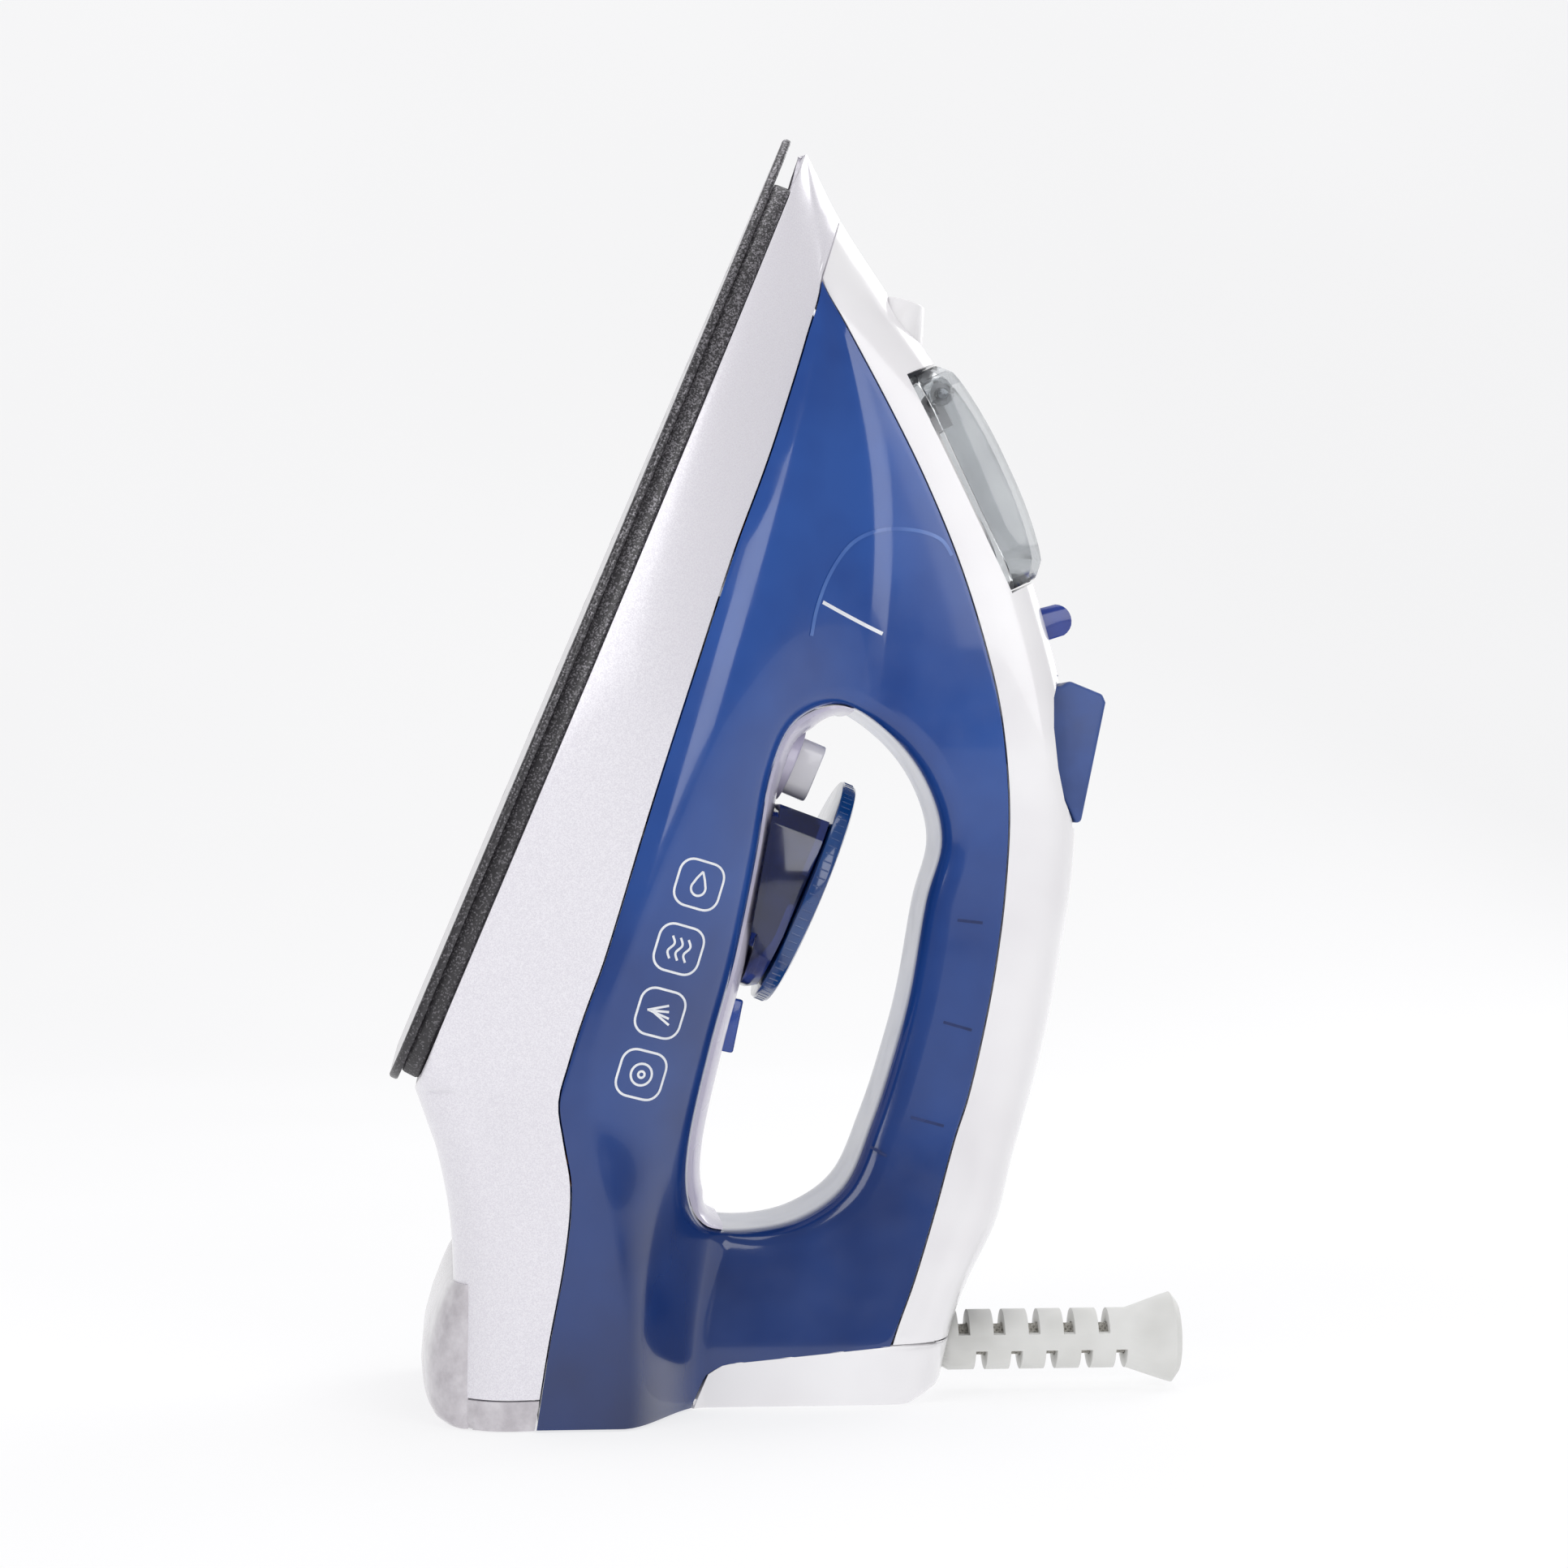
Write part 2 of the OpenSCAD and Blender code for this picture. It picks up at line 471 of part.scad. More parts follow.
// ---- Pilot lamp ----
deck_tilt = 11.6;
lens_at = [12, 81] * k;
lens_w = 5;
lens_l = 12;
module pilot_lens() color("#1d3f8c") translate([lens_at[0], 0, lens_at[1]]) rotate([0, deck_tilt, 0])
  translate([-2.5, -lens_w / 2, -lens_l / 2]) cube([4.2, lens_w, lens_l]);
module pilot_lamp() color("orange") translate([lens_at[0] - 11.4, 0, lens_at[1] + 1])
  rotate([90, 0, 0]) cylinder(h = 12, d = 5, center = true);

// ---- Spray nozzle and hoses ----
tube_d = 4;
nozzle_h = 9;
nozzle_d = 13;
nozzle_tip_d = 8.6;
module on_nozzle() translate([51.2 * k, 0, 241.4 * k]) rotate([0, 17, 0]) children();
module nozzle_body(gap) on_nozzle() translate([0, 0, -nozzle_h])
  cylinder(h = nozzle_h, d1 = nozzle_d + 2 * gap, d2 = nozzle_tip_d + 2 * gap);
module spray_nozzle() color("white") difference() {
  nozzle_body(0);
  on_nozzle() translate([0, 0, -3]) cylinder(h = 4, d = 3.4);
  on_nozzle() translate([0, 0, -9.1]) cylinder(h = 3, d = tube_d);
  on_nozzle() translate([0, 0, -7]) cylinder(h = 8, d = 1);
}
// Round hose on one smooth curve through a list of places
function open_curve(p, n) = let(c = len(p) - 1) concat([
  for (i = [0 : c - 1]) for (j = [0 : n - 1])
    let(a = p[max(0, i - 1)], b = p[i], d = p[i + 1], e = p[min(c, i + 2)])
    hermite(b, d, (d - a) / 2, (e - b) / 2, j / n)], [p[c]]);
module hose(p, d) {
  c = open_curve(p, 4);
  n = len(c) - 1;
  loft([for (i = [0 : n])
    let(t = c[min(n, i + 1)] - c[max(0, i - 1)], a = cross(t, [0, 1, 0]), u = a / norm(a), w = cross(t, u))
    [for (j = [0 : hose_sides - 1]) let(q = 360 * j / hose_sides)
      c[i] + d / 2 * (u * cos(q) + w / norm(w) * sin(q))]]);
}
hose_sides = 8;
function at(p, y) = [p[0], y, p[1]];
module spray_tube() color("ivory") hose([[60.4 * k, -pump_y, 152 * k], [61 * k, -pump_y, 162 * k],
  [64.5 * k, -10.5, 180 * k], [55.4 * k, -10.5, 203 * k], [45.6 * k, -6, 224 * k], [46.2 * k, -1, 231.5 * k]],
  tube_d - 1);
steam_in = [122, 14] * k;
module steam_tube() color("ivory") hose([[60.4 * k, pump_y, 152.2 * k], [60 * k, pump_y, 158 * k],
  [34 * k, 14, 170 * k], at(lean(steam_in[0], floor_v + 12), steam_in[1]),
  at(lean(steam_in[0], cover_v + 0.2), steam_in[1])], tube_d);

// ---- Filler lid: X points out of the cover, Z towards the nose ----
lid_len = 52 * k;
lid_depth = 6.6;
lid_crown = 3;
lid_pivot = [-3.2, lid_len / 2 - 6.6];
lid_nose_r = 7.9;
inlet_z = -12 * k;
inlet_d = 15;
lid_outline = [for (i = [0 : 16]) let(s = i / 16) lid_side(s)];
function lid_side(s) = [lid_crown * (1 - pow(abs(2 * s - 1), 2.4)) - (s > 0.98 || s < 0.02 ? 1.5 : 0),
  lid_len * (0.5 - s)];
module on_lid() translate([69.1 * k, 0, 203.7 * k]) rotate([0, -25.5, 0]) children();
// Lid body drawn in by d, reaching down to x = low
module lid_form(d, low) intersection() {
  side(concat([[low, lid_len / 2 - d]], [for (p = lid_outline) [p[0] - d, p[1] * (1 - 2 * d / lid_len)]],
    [[low, -lid_len / 2 + d]]), lid_w - 2 * d);
  translate([-20, 0, 0]) rotate([0, 90, 0]) linear_extrude(40)
    polygon(lozenge(lid_len / 2 - d, lid_w / 2 - d, 7));
}
// Rounded rectangle with half length a, half width b and corner radius r
function lozenge(a, b, r) = [for (q = [[1, 1, 0], [-1, 1, 90], [-1, -1, 180], [1, -1, 270]])
  for (i = [0 : 6]) let(t = q[2] + i * 15) [q[0] * (a - r) + r * cos(t), q[1] * (b - r) + r * sin(t)]];
ear_y = lid_w / 2 - lid_wall - 2.2;
ear_t = 3;
module filler_lid() color("#a8acb0") on_lid() {
  difference() {
    lid_form(0, -lid_depth);
    lid_form(lid_wall, -lid_depth - 1);
    translate([lid_pivot[0], 0, lid_pivot[1]]) rotate([90, 0, 0])
      cylinder(h = 2 * ear_y + 4.2, d = lid_pin_d + 0.14, center = true);
  }
  for (s = [-1, 1]) difference() {
    translate([lid_pivot[0], s * (ear_y + 1), lid_pivot[1]]) {
      rotate([90, 0, 0]) cylinder(h = 2, d = lid_pin_d + 2.6, center = true);
      translate([-0.5, -1, 0]) cube([3.4, 2, 4.4]);
    }
    translate([lid_pivot[0], 0, lid_pivot[1]]) rotate([90, 0, 0])
      cylinder(h = lid_w, d = lid_pin_d + 0.14, center = true);
  }
}
module lid_pin() color("silver") on_lid() translate([lid_pivot[0], 0, lid_pivot[1]]) rotate([90, 0, 0])
  cylinder(h = 2 * ear_y + 4, d = lid_pin_d, center = true);
module filler_tray() color("whitesmoke") on_lid() difference() {
  union() {
    translate([-lid_depth - 3, 0, 0]) rotate([0, 90, 0]) linear_extrude(2)
      polygon(lozenge(lid_len / 2 - 11, lid_w / 2 - 1.2, 5));
    translate([-lid_depth - 14, 0, inlet_z]) rotate([0, 90, 0]) cylinder(h = 14, d = inlet_d);
    for (s = [-1, 1]) translate([0, s * (ear_y - 2.6), 0]) {
      translate([-lid_depth - 1.5, -ear_t / 2, lid_pivot[1] - 7]) cube([4.9, ear_t, 3.4]);
      translate([lid_pivot[0] - 1.6, -ear_t / 2, lid_pivot[1] - 4]) cube([1.6, ear_t, 4]);
      translate([lid_pivot[0], 0, lid_pivot[1]]) rotate([90, 0, 0])
        cylinder(h = ear_t, d = lid_pin_d + 2, center = true);
    }
  }
  translate([-lid_depth - 20, 0, inlet_z]) rotate([0, 90, 0]) cylinder(h = 30, d = inlet_d - 3);
  translate([lid_pivot[0], 0, lid_pivot[1]]) rotate([90, 0, 0])
    cylinder(h = lid_w, d = lid_pin_d, center = true);
}

// ---- Steam lever and its valve rod ----
lever_shaft_d = 5;
rod_u = 137.6 * k;
seal_d = 9;
module on_lever() translate([81 * k, 0, 169.6 * k]) rotate([0, -16, 0]) children();
// The knob's D, standing on its disc
knob_side = concat([[0, -3.7]], [for (i = [1 : 11]) let(t = -90 + i * 15) [4.2 + 3.4 * cos(t), 3.7 * sin(t)]],
  [[0, 3.7]]);
module steam_lever() color("#1f3384") on_lever() {
  translate([-2, 0, 0]) rotate([0, 90, 0]) cylinder(h = 2, d = lever_d);
  intersection() {
    translate([-1, 0, 0]) rotate([90, 0, 0]) linear_extrude(lever_d - 1, center = true)
      polygon(knob_side);
    translate([-2, 0, 0]) rotate([0, 90, 0]) cylinder(h = 12, d = lever_d - 0.4);
  }
}
module lever_shaft() color("whitesmoke") on_lever() {
  translate([-11.5, 0, 0]) rotate([0, 90, 0]) cylinder(h = 9.5, d = lever_shaft_d);
}
rod_top = 85.4 * k - 7.5;
module steam_rod() color("silver") on_sole(rod_u)
  post(cover_v - 1, rod_top - cover_v + 1, rod_d);
module rod_seal() color("orangered") on_sole(rod_u) difference() {
  post(floor_v - 1.6, 5, seal_d);
  post(floor_v - 3, 8, rod_d + 0.12);
}

// ---- Spray and steam buttons: X points out of the handle ----
button_half = 11.2;
pump_y = 6.4;
pump_out_d = pump_bore_d + 3;
pump_from = -32 * k;
button_low = -10.6;
pump_to = button_low - button_stroke - 1;
module on_button() translate([89 * k, 0, 140 * k]) rotate([0, 11.8, 0]) children();
button_pts = [[2.67, -13.75], [2.67, 13.1], [1.6, 14.7], [-6.2, 16.1], [-7.8, 14.6], [button_low, 14],
  [button_low, -9.2], [-2.6, -9.2], [1.4, -14.4]];
button_window = [[1.6, -15.4], [20, -15.4], [20, 17], [-6.3, 16.8], [-9.2, 15], [-9.6, 11.5], [-8.4, 5],
  [-5.6, -3.5], [-2.6, -10]];
well_low = button_low - button_stroke - 1.4;
button_well = [[well_low, -9.8], [-7.2, -9.8], [-2.9, -15.4], [2, -15.4], [2, 16.8], [well_low, 16.8]];
module button_block(s) color("#34508c") on_button()
  translate([0, s * (button_half + button_split / 2) / 2, 0])
    side(button_pts, button_half - button_split / 2);
module plunger(s) color("white") on_button() translate([0, s * pump_y, 0]) difference() {
  translate([-22.5, 0, 0]) rotate([0, 90, 0]) cylinder(h = 22.5 + button_low, d = pump_bore_d - 0.1);
  translate([-23, 0, 0]) rotate([0, 90, 0]) cylinder(h = 9, d = spring_d + 0.8);
}
spring_d = pump_bore_d - 2.2;
module spray_button() button_block(-1);
module steam_button() button_block(1);
module spray_plunger() plunger(-1);
module steam_plunger() plunger(1);
module pump_barrels() color("ivory") on_button() for (s = [-1, 1])
  translate([0, s * pump_y, 0]) difference() {
  translate([pump_from, 0, 0]) rotate([0, 90, 0]) cylinder(h = pump_to - pump_from, d = pump_out_d);
  translate([pump_from + 1.5, 0, 0]) rotate([0, 90, 0]) cylinder(h = big / 4, d = pump_bore_d);
}
// Wire coil with n turns along X
module coil(d, wire, len, n) {
  loft([for (i = [0 : n * 9]) let(t = i * 40, x = len * i / (n * 9)) [for (j = [0 : 4])
    let(c = d / 2 + wire / 2 * cos(j * 72)) [x + wire / 2 * sin(j * 72), c * cos(t), c * sin(t)]]]);
}
module button_springs() color("lightgray") on_button() for (s = [-1, 1])
  translate([pump_from + 1.7 + spring_wire_d / 2, s * pump_y, 0])
    coil(spring_d - spring_wire_d, spring_wire_d, 11.5, 5);

// ---- Cord outlet ----
drum_x = 45 * k;
drum_z = 10.6;
drum_half = 8;
journal_d = 6;
neck_d = 9;
guard_from = 15.5;
module drum_room(gap) translate([drum_x, 0, drum_z]) rotate([90, 0, 0])
  cylinder(h = 2 * drum_half + 9, d = drum_d + 2 * gap, center = true);
module guard_slot() translate([drum_x, 0, drum_z]) hull() for (a = [0, 35]) rotate([0, -a, 0])
  rotate([0, 90, 0]) cylinder(h = 60, d = guard_d + 1.2, $fn = 32);
module drum_bearing() color("whitesmoke") for (s = [-1, 1]) translate([drum_x, s * (drum_half + 2.4), drum_z])
  rotate([90, 0, 0]) difference() {
    cylinder(h = 3.6, d = drum_d, center = true);
    cylinder(h = 5, d = journal_d + 0.08, center = true);
  }
module swivel_drum() color("white") translate([drum_x, 0, drum_z]) difference() {
  union() {
    rotate([90, 0, 0]) cylinder(h = 2 * drum_half, d = drum_d, center = true);
    rotate([90, 0, 0]) cylinder(h = 2 * drum_half + 8, d = journal_d, center = true);
  }
  translate([-20, 0, 0]) rotate([0, 90, 0]) cylinder(h = 40, d = neck_d + 0.1);
  translate([-3, 0, 0]) rotate([0, 90, 0]) cylinder(h = 4, d = neck_d + 3.1);
}
module cord_guard() color("#dcdcda") translate([drum_x, 0, drum_z]) difference() {
  rotate([0, 90, 0]) rotate_extrude() polygon([[0, -6], [neck_d / 2, -6], [neck_d / 2, -2.8],
    [neck_d / 2 + 1.4, -2.8], [neck_d / 2 + 1.4, 0.8], [neck_d / 2, 0.8], [neck_d / 2, 11.4],
    [guard_d / 2, guard_from], [guard_d / 2, guard_from + guard_len * 0.8],
    [mouth_d / 2 - 0.6, guard_from + guard_len - 2], [mouth_d / 2, guard_from + guard_len],
    [mouth_d / 2 - 2, guard_from + guard_len + 1.5], [0, guard_from + guard_len + 1.5]]);
  translate([-20, 0, 0]) rotate([0, 90, 0]) cylinder(h = big, d = cord_d + 0.3);
  translate([guard_from + guard_len - 5, 0, 0]) rotate([0, 90, 0])
    cylinder(h = 8, d1 = cord_d + 0.3, d2 = mouth_d - 3);
  for (i = [0 : slot_count - 1]) for (s = [-1, 1])
    translate([guard_from + 3 + (i + (s < 0 ? 0.5 : 0)) * slot_pitch, 0, s * guard_d / 2])
      cube([slot_w, guard_d + 1, guard_d - 2 * spine_t], center = true);
}
slot_pitch = guard_len * 0.8 / (slot_count + 0.1);
slot_w = 2.6;
spine_t = 1.8;
module cord_stub() color("lightgray") translate([drum_x - 9, 0, drum_z]) rotate([0, 90, 0])
  cylinder(h = 9 + guard_from + guard_len - 4, d = cord_d);
module terminal_block() color("ivory") translate([2 * k, -10, 12]) difference() {
  cube([12, 20, 10]);
  for (i = [0 : 2]) translate([6, 3.5 + i * 6.5, 4]) cylinder(h = 10, d = 3.4);
}
module cord_clamp() color("ivory") translate([20 * k, -9, drum_z - 4]) difference() {
  cube([6, 18, 8.6]);
  translate([-1, 9, 4]) rotate([0, 90, 0]) cylinder(h = 10, d = cord_d);
}
module clamp_screws() color("slategray") for (s = [-1, 1]) translate([20 * k + 3, s * 6.6, drum_z + 4.7])
  cylinder(h = 1.6, d = 4);
module supply_wires() color("sienna") for (s = [-1, 1]) hose([[3 * k, s * 4, 23.4], [-2 * k, s * 8, 36 * k],
  [-24 * k, s * 26 * k, 50 * k], at(lean(terminal_u, casting_top + 9), s * loop_r)], 2.4);

soleplate();
heater_casting();
heating_element();
chamber_seal();
chamber_cover();
chamber_screws();
skirt();
water_tank();
tank_floor();
top_cover();
saddle_cover();
heel_cover();
rear_cover();
rear_screws();
spray_nozzle();
spray_tube();
steam_tube();
filler_tray();
lid_pin();
filler_lid();
steam_lever();
lever_shaft();
steam_rod();
rod_seal();
spray_button();
steam_button();
pump_barrels();
spray_plunger();
steam_plunger();
button_springs();
dial_cap();
dial_shaft();
dial_shroud();
thermostat();
thermal_fuse();
clean_button();
clean_collar();
clean_rod();
pilot_lens();
pilot_lamp();
terminal_block();
cord_clamp();
clamp_screws();
supply_wires();
drum_bearing();
swivel_drum();
cord_guard();
cord_stub();
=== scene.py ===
import math

import bmesh
import bpy
import numpy as np
from mathutils import Matrix, Vector
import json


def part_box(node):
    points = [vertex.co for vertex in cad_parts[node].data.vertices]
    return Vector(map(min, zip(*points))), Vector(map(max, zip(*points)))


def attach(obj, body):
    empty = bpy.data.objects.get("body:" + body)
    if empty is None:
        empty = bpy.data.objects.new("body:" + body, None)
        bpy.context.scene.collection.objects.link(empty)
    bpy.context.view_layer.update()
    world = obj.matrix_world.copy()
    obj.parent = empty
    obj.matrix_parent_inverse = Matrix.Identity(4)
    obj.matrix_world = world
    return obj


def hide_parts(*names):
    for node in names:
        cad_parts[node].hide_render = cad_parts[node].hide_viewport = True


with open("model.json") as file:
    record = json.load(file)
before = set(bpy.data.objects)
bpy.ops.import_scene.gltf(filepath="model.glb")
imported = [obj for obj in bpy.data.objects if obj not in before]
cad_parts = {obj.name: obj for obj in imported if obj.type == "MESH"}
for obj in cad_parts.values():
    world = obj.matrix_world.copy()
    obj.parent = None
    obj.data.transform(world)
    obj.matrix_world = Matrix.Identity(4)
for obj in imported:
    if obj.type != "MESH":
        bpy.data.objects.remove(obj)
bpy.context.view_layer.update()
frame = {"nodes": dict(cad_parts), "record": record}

# ---- Studio ----
# The iron stands on its heel on a pale table top that curves up into a pale wall.
# Soft boxes stand over it, in front of it on the left and behind the handle.
MM = 0.001


def shade(code):
    """A hex sRGB colour as linear red, green, blue and alpha."""
    parts = [int(code[i:i + 2], 16) / 255 for i in (0, 2, 4)]
    return [c / 12.92 if c <= 0.04045 else ((c + 0.055) / 1.055) ** 2.4 for c in parts] + [1.0]


def add(tree, kind, links=None, **settings):
    """A node with its settings; links gives each input another node's output or a value."""
    made = tree.nodes.new(kind)
    for name, value in settings.items():
        setattr(made, name, value)
    for name, value in (links or {}).items():
        if isinstance(value, bpy.types.NodeSocket):
            tree.links.new(value, made.inputs[name])
        else:
            made.inputs[name].default_value = value
    return made


def finish_of(name, **sockets):
    """A new material with these values on its shader's sockets; returns it, its tree and its shader."""
    made = bpy.data.materials.new(name)
    made.use_nodes = True
    skin = made.node_tree.nodes["Principled BSDF"]
    for socket, value in sockets.items():
        skin.inputs[socket.replace("_", " ")].default_value = value
    return made, made.node_tree, skin


def grain(tree, size, detail=2.0, rough=0.5):
    """Cloudy noise with features of this size in millimetres, fixed to the object."""
    place = add(tree, "ShaderNodeTexCoord").outputs["Object"]
    return add(tree, "ShaderNodeTexNoise",
               {"Vector": place, "Scale": 1 / (size * MM), "Detail": detail, "Roughness": rough}).outputs[0]


def between(tree, factor, low, high, sharp=(0.3, 0.7)):
    """Runs from one hex colour to another as the factor goes from sharp[0] to sharp[1]."""
    ramp = add(tree, "ShaderNodeMapRange", {0: factor, 1: sharp[0], 2: sharp[1]}).outputs[0]
    return add(tree, "ShaderNodeMix", {0: ramp, 6: shade(low), 7: shade(high)}, data_type="RGBA").outputs[2]


def ranged(tree, factor, low, high, sharp=(0.3, 0.7)):
    """The same between two numbers."""
    return add(tree, "ShaderNodeMapRange", {0: factor, 1: sharp[0], 2: sharp[1], 3: low, 4: high}).outputs[0]


def dented(tree, skin, height, depth, strength=0.5):
    """Small relief of this depth in millimetres on the shader."""
    bump = add(tree, "ShaderNodeBump", {"Height": height, "Distance": depth * MM, "Strength": strength})
    tree.links.new(bump.outputs[0], skin.inputs["Normal"])


def moulded(name, low, high, size=6.0, rough=(0.25, 0.4), relief=0.02, **sockets):
    """Moulded plastic or rubber: two close colours in soft clouds, uneven gloss and a fine skin."""
    made, tree, skin = finish_of(name, **sockets)
    clouds = grain(tree, size)
    tree.links.new(between(tree, clouds, low, high), skin.inputs["Base Color"])
    tree.links.new(ranged(tree, clouds, rough[0], rough[1]), skin.inputs["Roughness"])
    dented(tree, skin, grain(tree, 0.6), relief)
    return made


def mesh_of(name, points, faces, finish):
    """A new object from points in millimetres, its doubles merged and its faces outwards."""
    mesh = bpy.data.meshes.new(name)
    mesh.from_pydata([tuple(p) for p in np.asarray(points, float) * MM], [], faces)
    work = bmesh.new()
    work.from_mesh(mesh)
    bmesh.ops.remove_doubles(work, verts=work.verts, dist=0.00001)
    bmesh.ops.dissolve_degenerate(work, edges=work.edges, dist=0.000005)
    bmesh.ops.recalc_face_normals(work, faces=work.faces)
    work.to_mesh(mesh)
    work.free()
    made = bpy.data.objects.new(name, mesh)
    bpy.context.scene.collection.objects.link(made)
    mesh.materials.append(finish)
    return made


def smooth_over(made, angle=35):
    """Smooth shading, with creases where faces meet at more than this angle."""
    made.data.polygons.foreach_set("use_smooth", [True] * len(made.data.polygons))
    made.data.set_sharp_from_angle(angle=math.radians(angle))
    return made


scene = bpy.context.scene
scene.view_settings.view_transform = "Standard"
world = bpy.data.worlds.new("studio")
scene.world = world
world.use_nodes = True
sky = world.node_tree
seen = add(sky, "ShaderNodeBackground", {0: shade("f7f7f8"), 1: 1.0})
lit = add(sky, "ShaderNodeBackground", {0: shade("f7f7f8"), 1: 0.3})
mix = add(sky, "ShaderNodeMixShader", {0: add(sky, "ShaderNodeLightPath").outputs["Is Camera Ray"],
                                       1: lit.outputs[0], 2: seen.outputs[0]})
sky.links.new(mix.outputs[0], sky.nodes["World Output"].inputs[0])

paper = moulded("backdrop_paper", "8c8c8c", "909090", size=300, rough=(0.8, 0.9), relief=0,
                Emission_Color=shade("f7f7f8"), Emission_Strength=0.79, Specular_IOR_Level=0.0)
curve = [(-2200, 0)] + [(900 + 700 * math.sin(a), 700 - 700 * math.cos(a)) for a in np.linspace(0, 1.5, 24)]
curve.append((1650, 2600))
sweep = [[x, y, z - 0.2] for y, z in curve for x in (-3500, 3500)]
strips = [[2 * i, 2 * i + 1, 2 * i + 3, 2 * i + 2] for i in range(len(curve) - 1)]
floor = mesh_of("backdrop", sweep, strips, paper)
smooth_over(floor)

for name, place, size, power in (
    ("soft_box_left", (-0.75, -0.75, 0.75), 0.7, 4.0),
    ("soft_box_front", (0.55, -1.1, 0.55), 0.8, 5.0),
    ("soft_box_top", (0.1, 0.1, 1.25), 0.9, 5.0),
    ("soft_box_back", (0.8, 0.75, 0.6), 0.7, 4.0),
):
    lamp = bpy.data.lights.new(name, "AREA")
    lamp.size = size
    lamp.energy = power
    light = bpy.data.objects.new(name, lamp)
    light.location = place
    light.rotation_euler = (Vector((0.01, 0, 0.13)) - Vector(place)).to_track_quat("-Z", "Y").to_euler()
    scene.collection.objects.link(light)

# The camera stands about 0.8 m off, square to the iron's side but five degrees towards the soleplate.
camera = bpy.data.objects.new("camera", bpy.data.cameras.new("camera"))
camera.data.sensor_width = 36
camera.data.lens = 82.8
look_at = Vector((0.024, 0, 0.1343))
turn = math.radians(-5)
camera.location = look_at + 0.8 * Vector((math.sin(turn), -math.cos(turn), 0))
camera.rotation_euler = (look_at - camera.location).to_track_quat("-Z", "Y").to_euler()
scene.collection.objects.link(camera)
scene.camera = camera

# ---- Soleplate ----
# A pressed plate with a pale non-stick glaze on its face; its rolled rim keeps the dark glittering
# undercoat. Steam holes run through it to the chamber behind.
TILT = math.radians(22.9)
HEEL = (-62.7, 73.2)
SOLE_LENGTH, HALF_SOLE, HALF_GRIP = 222.0, 54.0, 17.5
RIM, REAR_R = 6.2, 14.0
PLATE_T = 2.2
STEAM_HOLE_R = 1.5


def lean(u, v):
    """x and z of a place u along the sole from its heel and v away from its face."""
    x = HEEL[0] + u * math.sin(TILT) + v * math.cos(TILT)
    return (x, HEEL[1] + u * math.cos(TILT) - v * math.sin(TILT))


def sole_half(u):
    """Half width of the soleplate at u."""
    u = np.asarray(u, float)
    front, rear = 165.0, SOLE_LENGTH - 165.0
    ahead = np.clip(1 - (1 - np.maximum(SOLE_LENGTH - u, 0) / front) ** 2, 0, 1) ** 0.8
    base = HALF_SOLE * np.where(SOLE_LENGTH - u < front, ahead, 1 - 0.07 * ((rear - u) / rear) ** 2)
    corner = np.sqrt(np.maximum(REAR_R ** 2 - (REAR_R - np.clip(u, 0, REAR_R)) ** 2, 0))
    return np.where(u >= REAR_R, base, base - REAR_R + corner)


def rings_mesh(name, rings, finish):
    """A solid skinned over closed rings of points, with both ends capped."""
    rings = np.asarray(rings, float)
    rows, n = rings.shape[:2]
    faces = [[a * n + i, a * n + (i + 1) % n, (a + 1) * n + (i + 1) % n, (a + 1) * n + i]
             for a in range(rows - 1) for i in range(n)]
    faces += [list(range(n))[::-1], list(range((rows - 1) * n, rows * n))]
    return mesh_of(name, rings.reshape(-1, 3), faces, finish)


def sole_ring(v, inset, front=SOLE_LENGTH, rear=0.0):
    """The sole's outline at height v, drawn in by inset and stopped at u = front and rear."""
    u = rear + inset + (front - rear - 2 * inset) * (0.5 - 0.5 * np.cos(np.linspace(0, math.pi, 110)))
    half = np.maximum(sole_half(u) - inset, 0.15)
    half = np.where(u > front - 8, np.minimum(half, np.sqrt(np.maximum((front - u) * 40, 0.02))), half)
    near = [(*lean(a, v), -b) for a, b in zip(u, half)]
    far = [(*lean(a, v), b) for a, b in zip(u[::-1], half[::-1])]
    return [(x, y, z) for x, z, y in near + far]


glitter_coat, tree, skin = finish_of("glittering_undercoat", Roughness=0.42, Coat_Weight=0.25)
# Metal flakes in dark lacquer: each flake is one cell with its own brightness, drawn 0.3 mm wide so
# that it shows.
spot = add(tree, "ShaderNodeTexCoord").outputs["Object"]
flakes = add(tree, "ShaderNodeTexVoronoi", {"Vector": spot, "Scale": 1 / (0.3 * MM)})
loose = add(tree, "ShaderNodeTexWhiteNoise", {0: flakes.outputs["Position"]}).outputs["Value"]
# Fewer flakes light up towards the heel, so the coat darkens low down: painted shade.
lift = add(tree, "ShaderNodeSeparateXYZ", {0: spot}).outputs["Z"]
painted_low_shade = ranged(tree, lift, 0.36, 0.02, sharp=(0.08, 0.27))
bright = add(tree, "ShaderNodeMath", {0: loose, 1: painted_low_shade}, operation="SUBTRACT").outputs[0]
tree.links.new(between(tree, bright, "2a282c", "a5a2a8", sharp=(0.4, 1.0)), skin.inputs["Base Color"])
tree.links.new(ranged(tree, bright, 0.0, 0.8, sharp=(0.5, 0.8)), skin.inputs["Metallic"])
dented(tree, skin, loose, 0.08, strength=0.6)

sole_glaze, tree, skin = finish_of("sole_glaze", Roughness=0.28, Coat_Weight=0.4, Coat_Roughness=0.1)
clouds = grain(tree, 1.2, detail=4)
tree.links.new(between(tree, clouds, "b3b0b5", "c6c3c8"), skin.inputs["Base Color"])
dented(tree, skin, grain(tree, 0.4), 0.02)

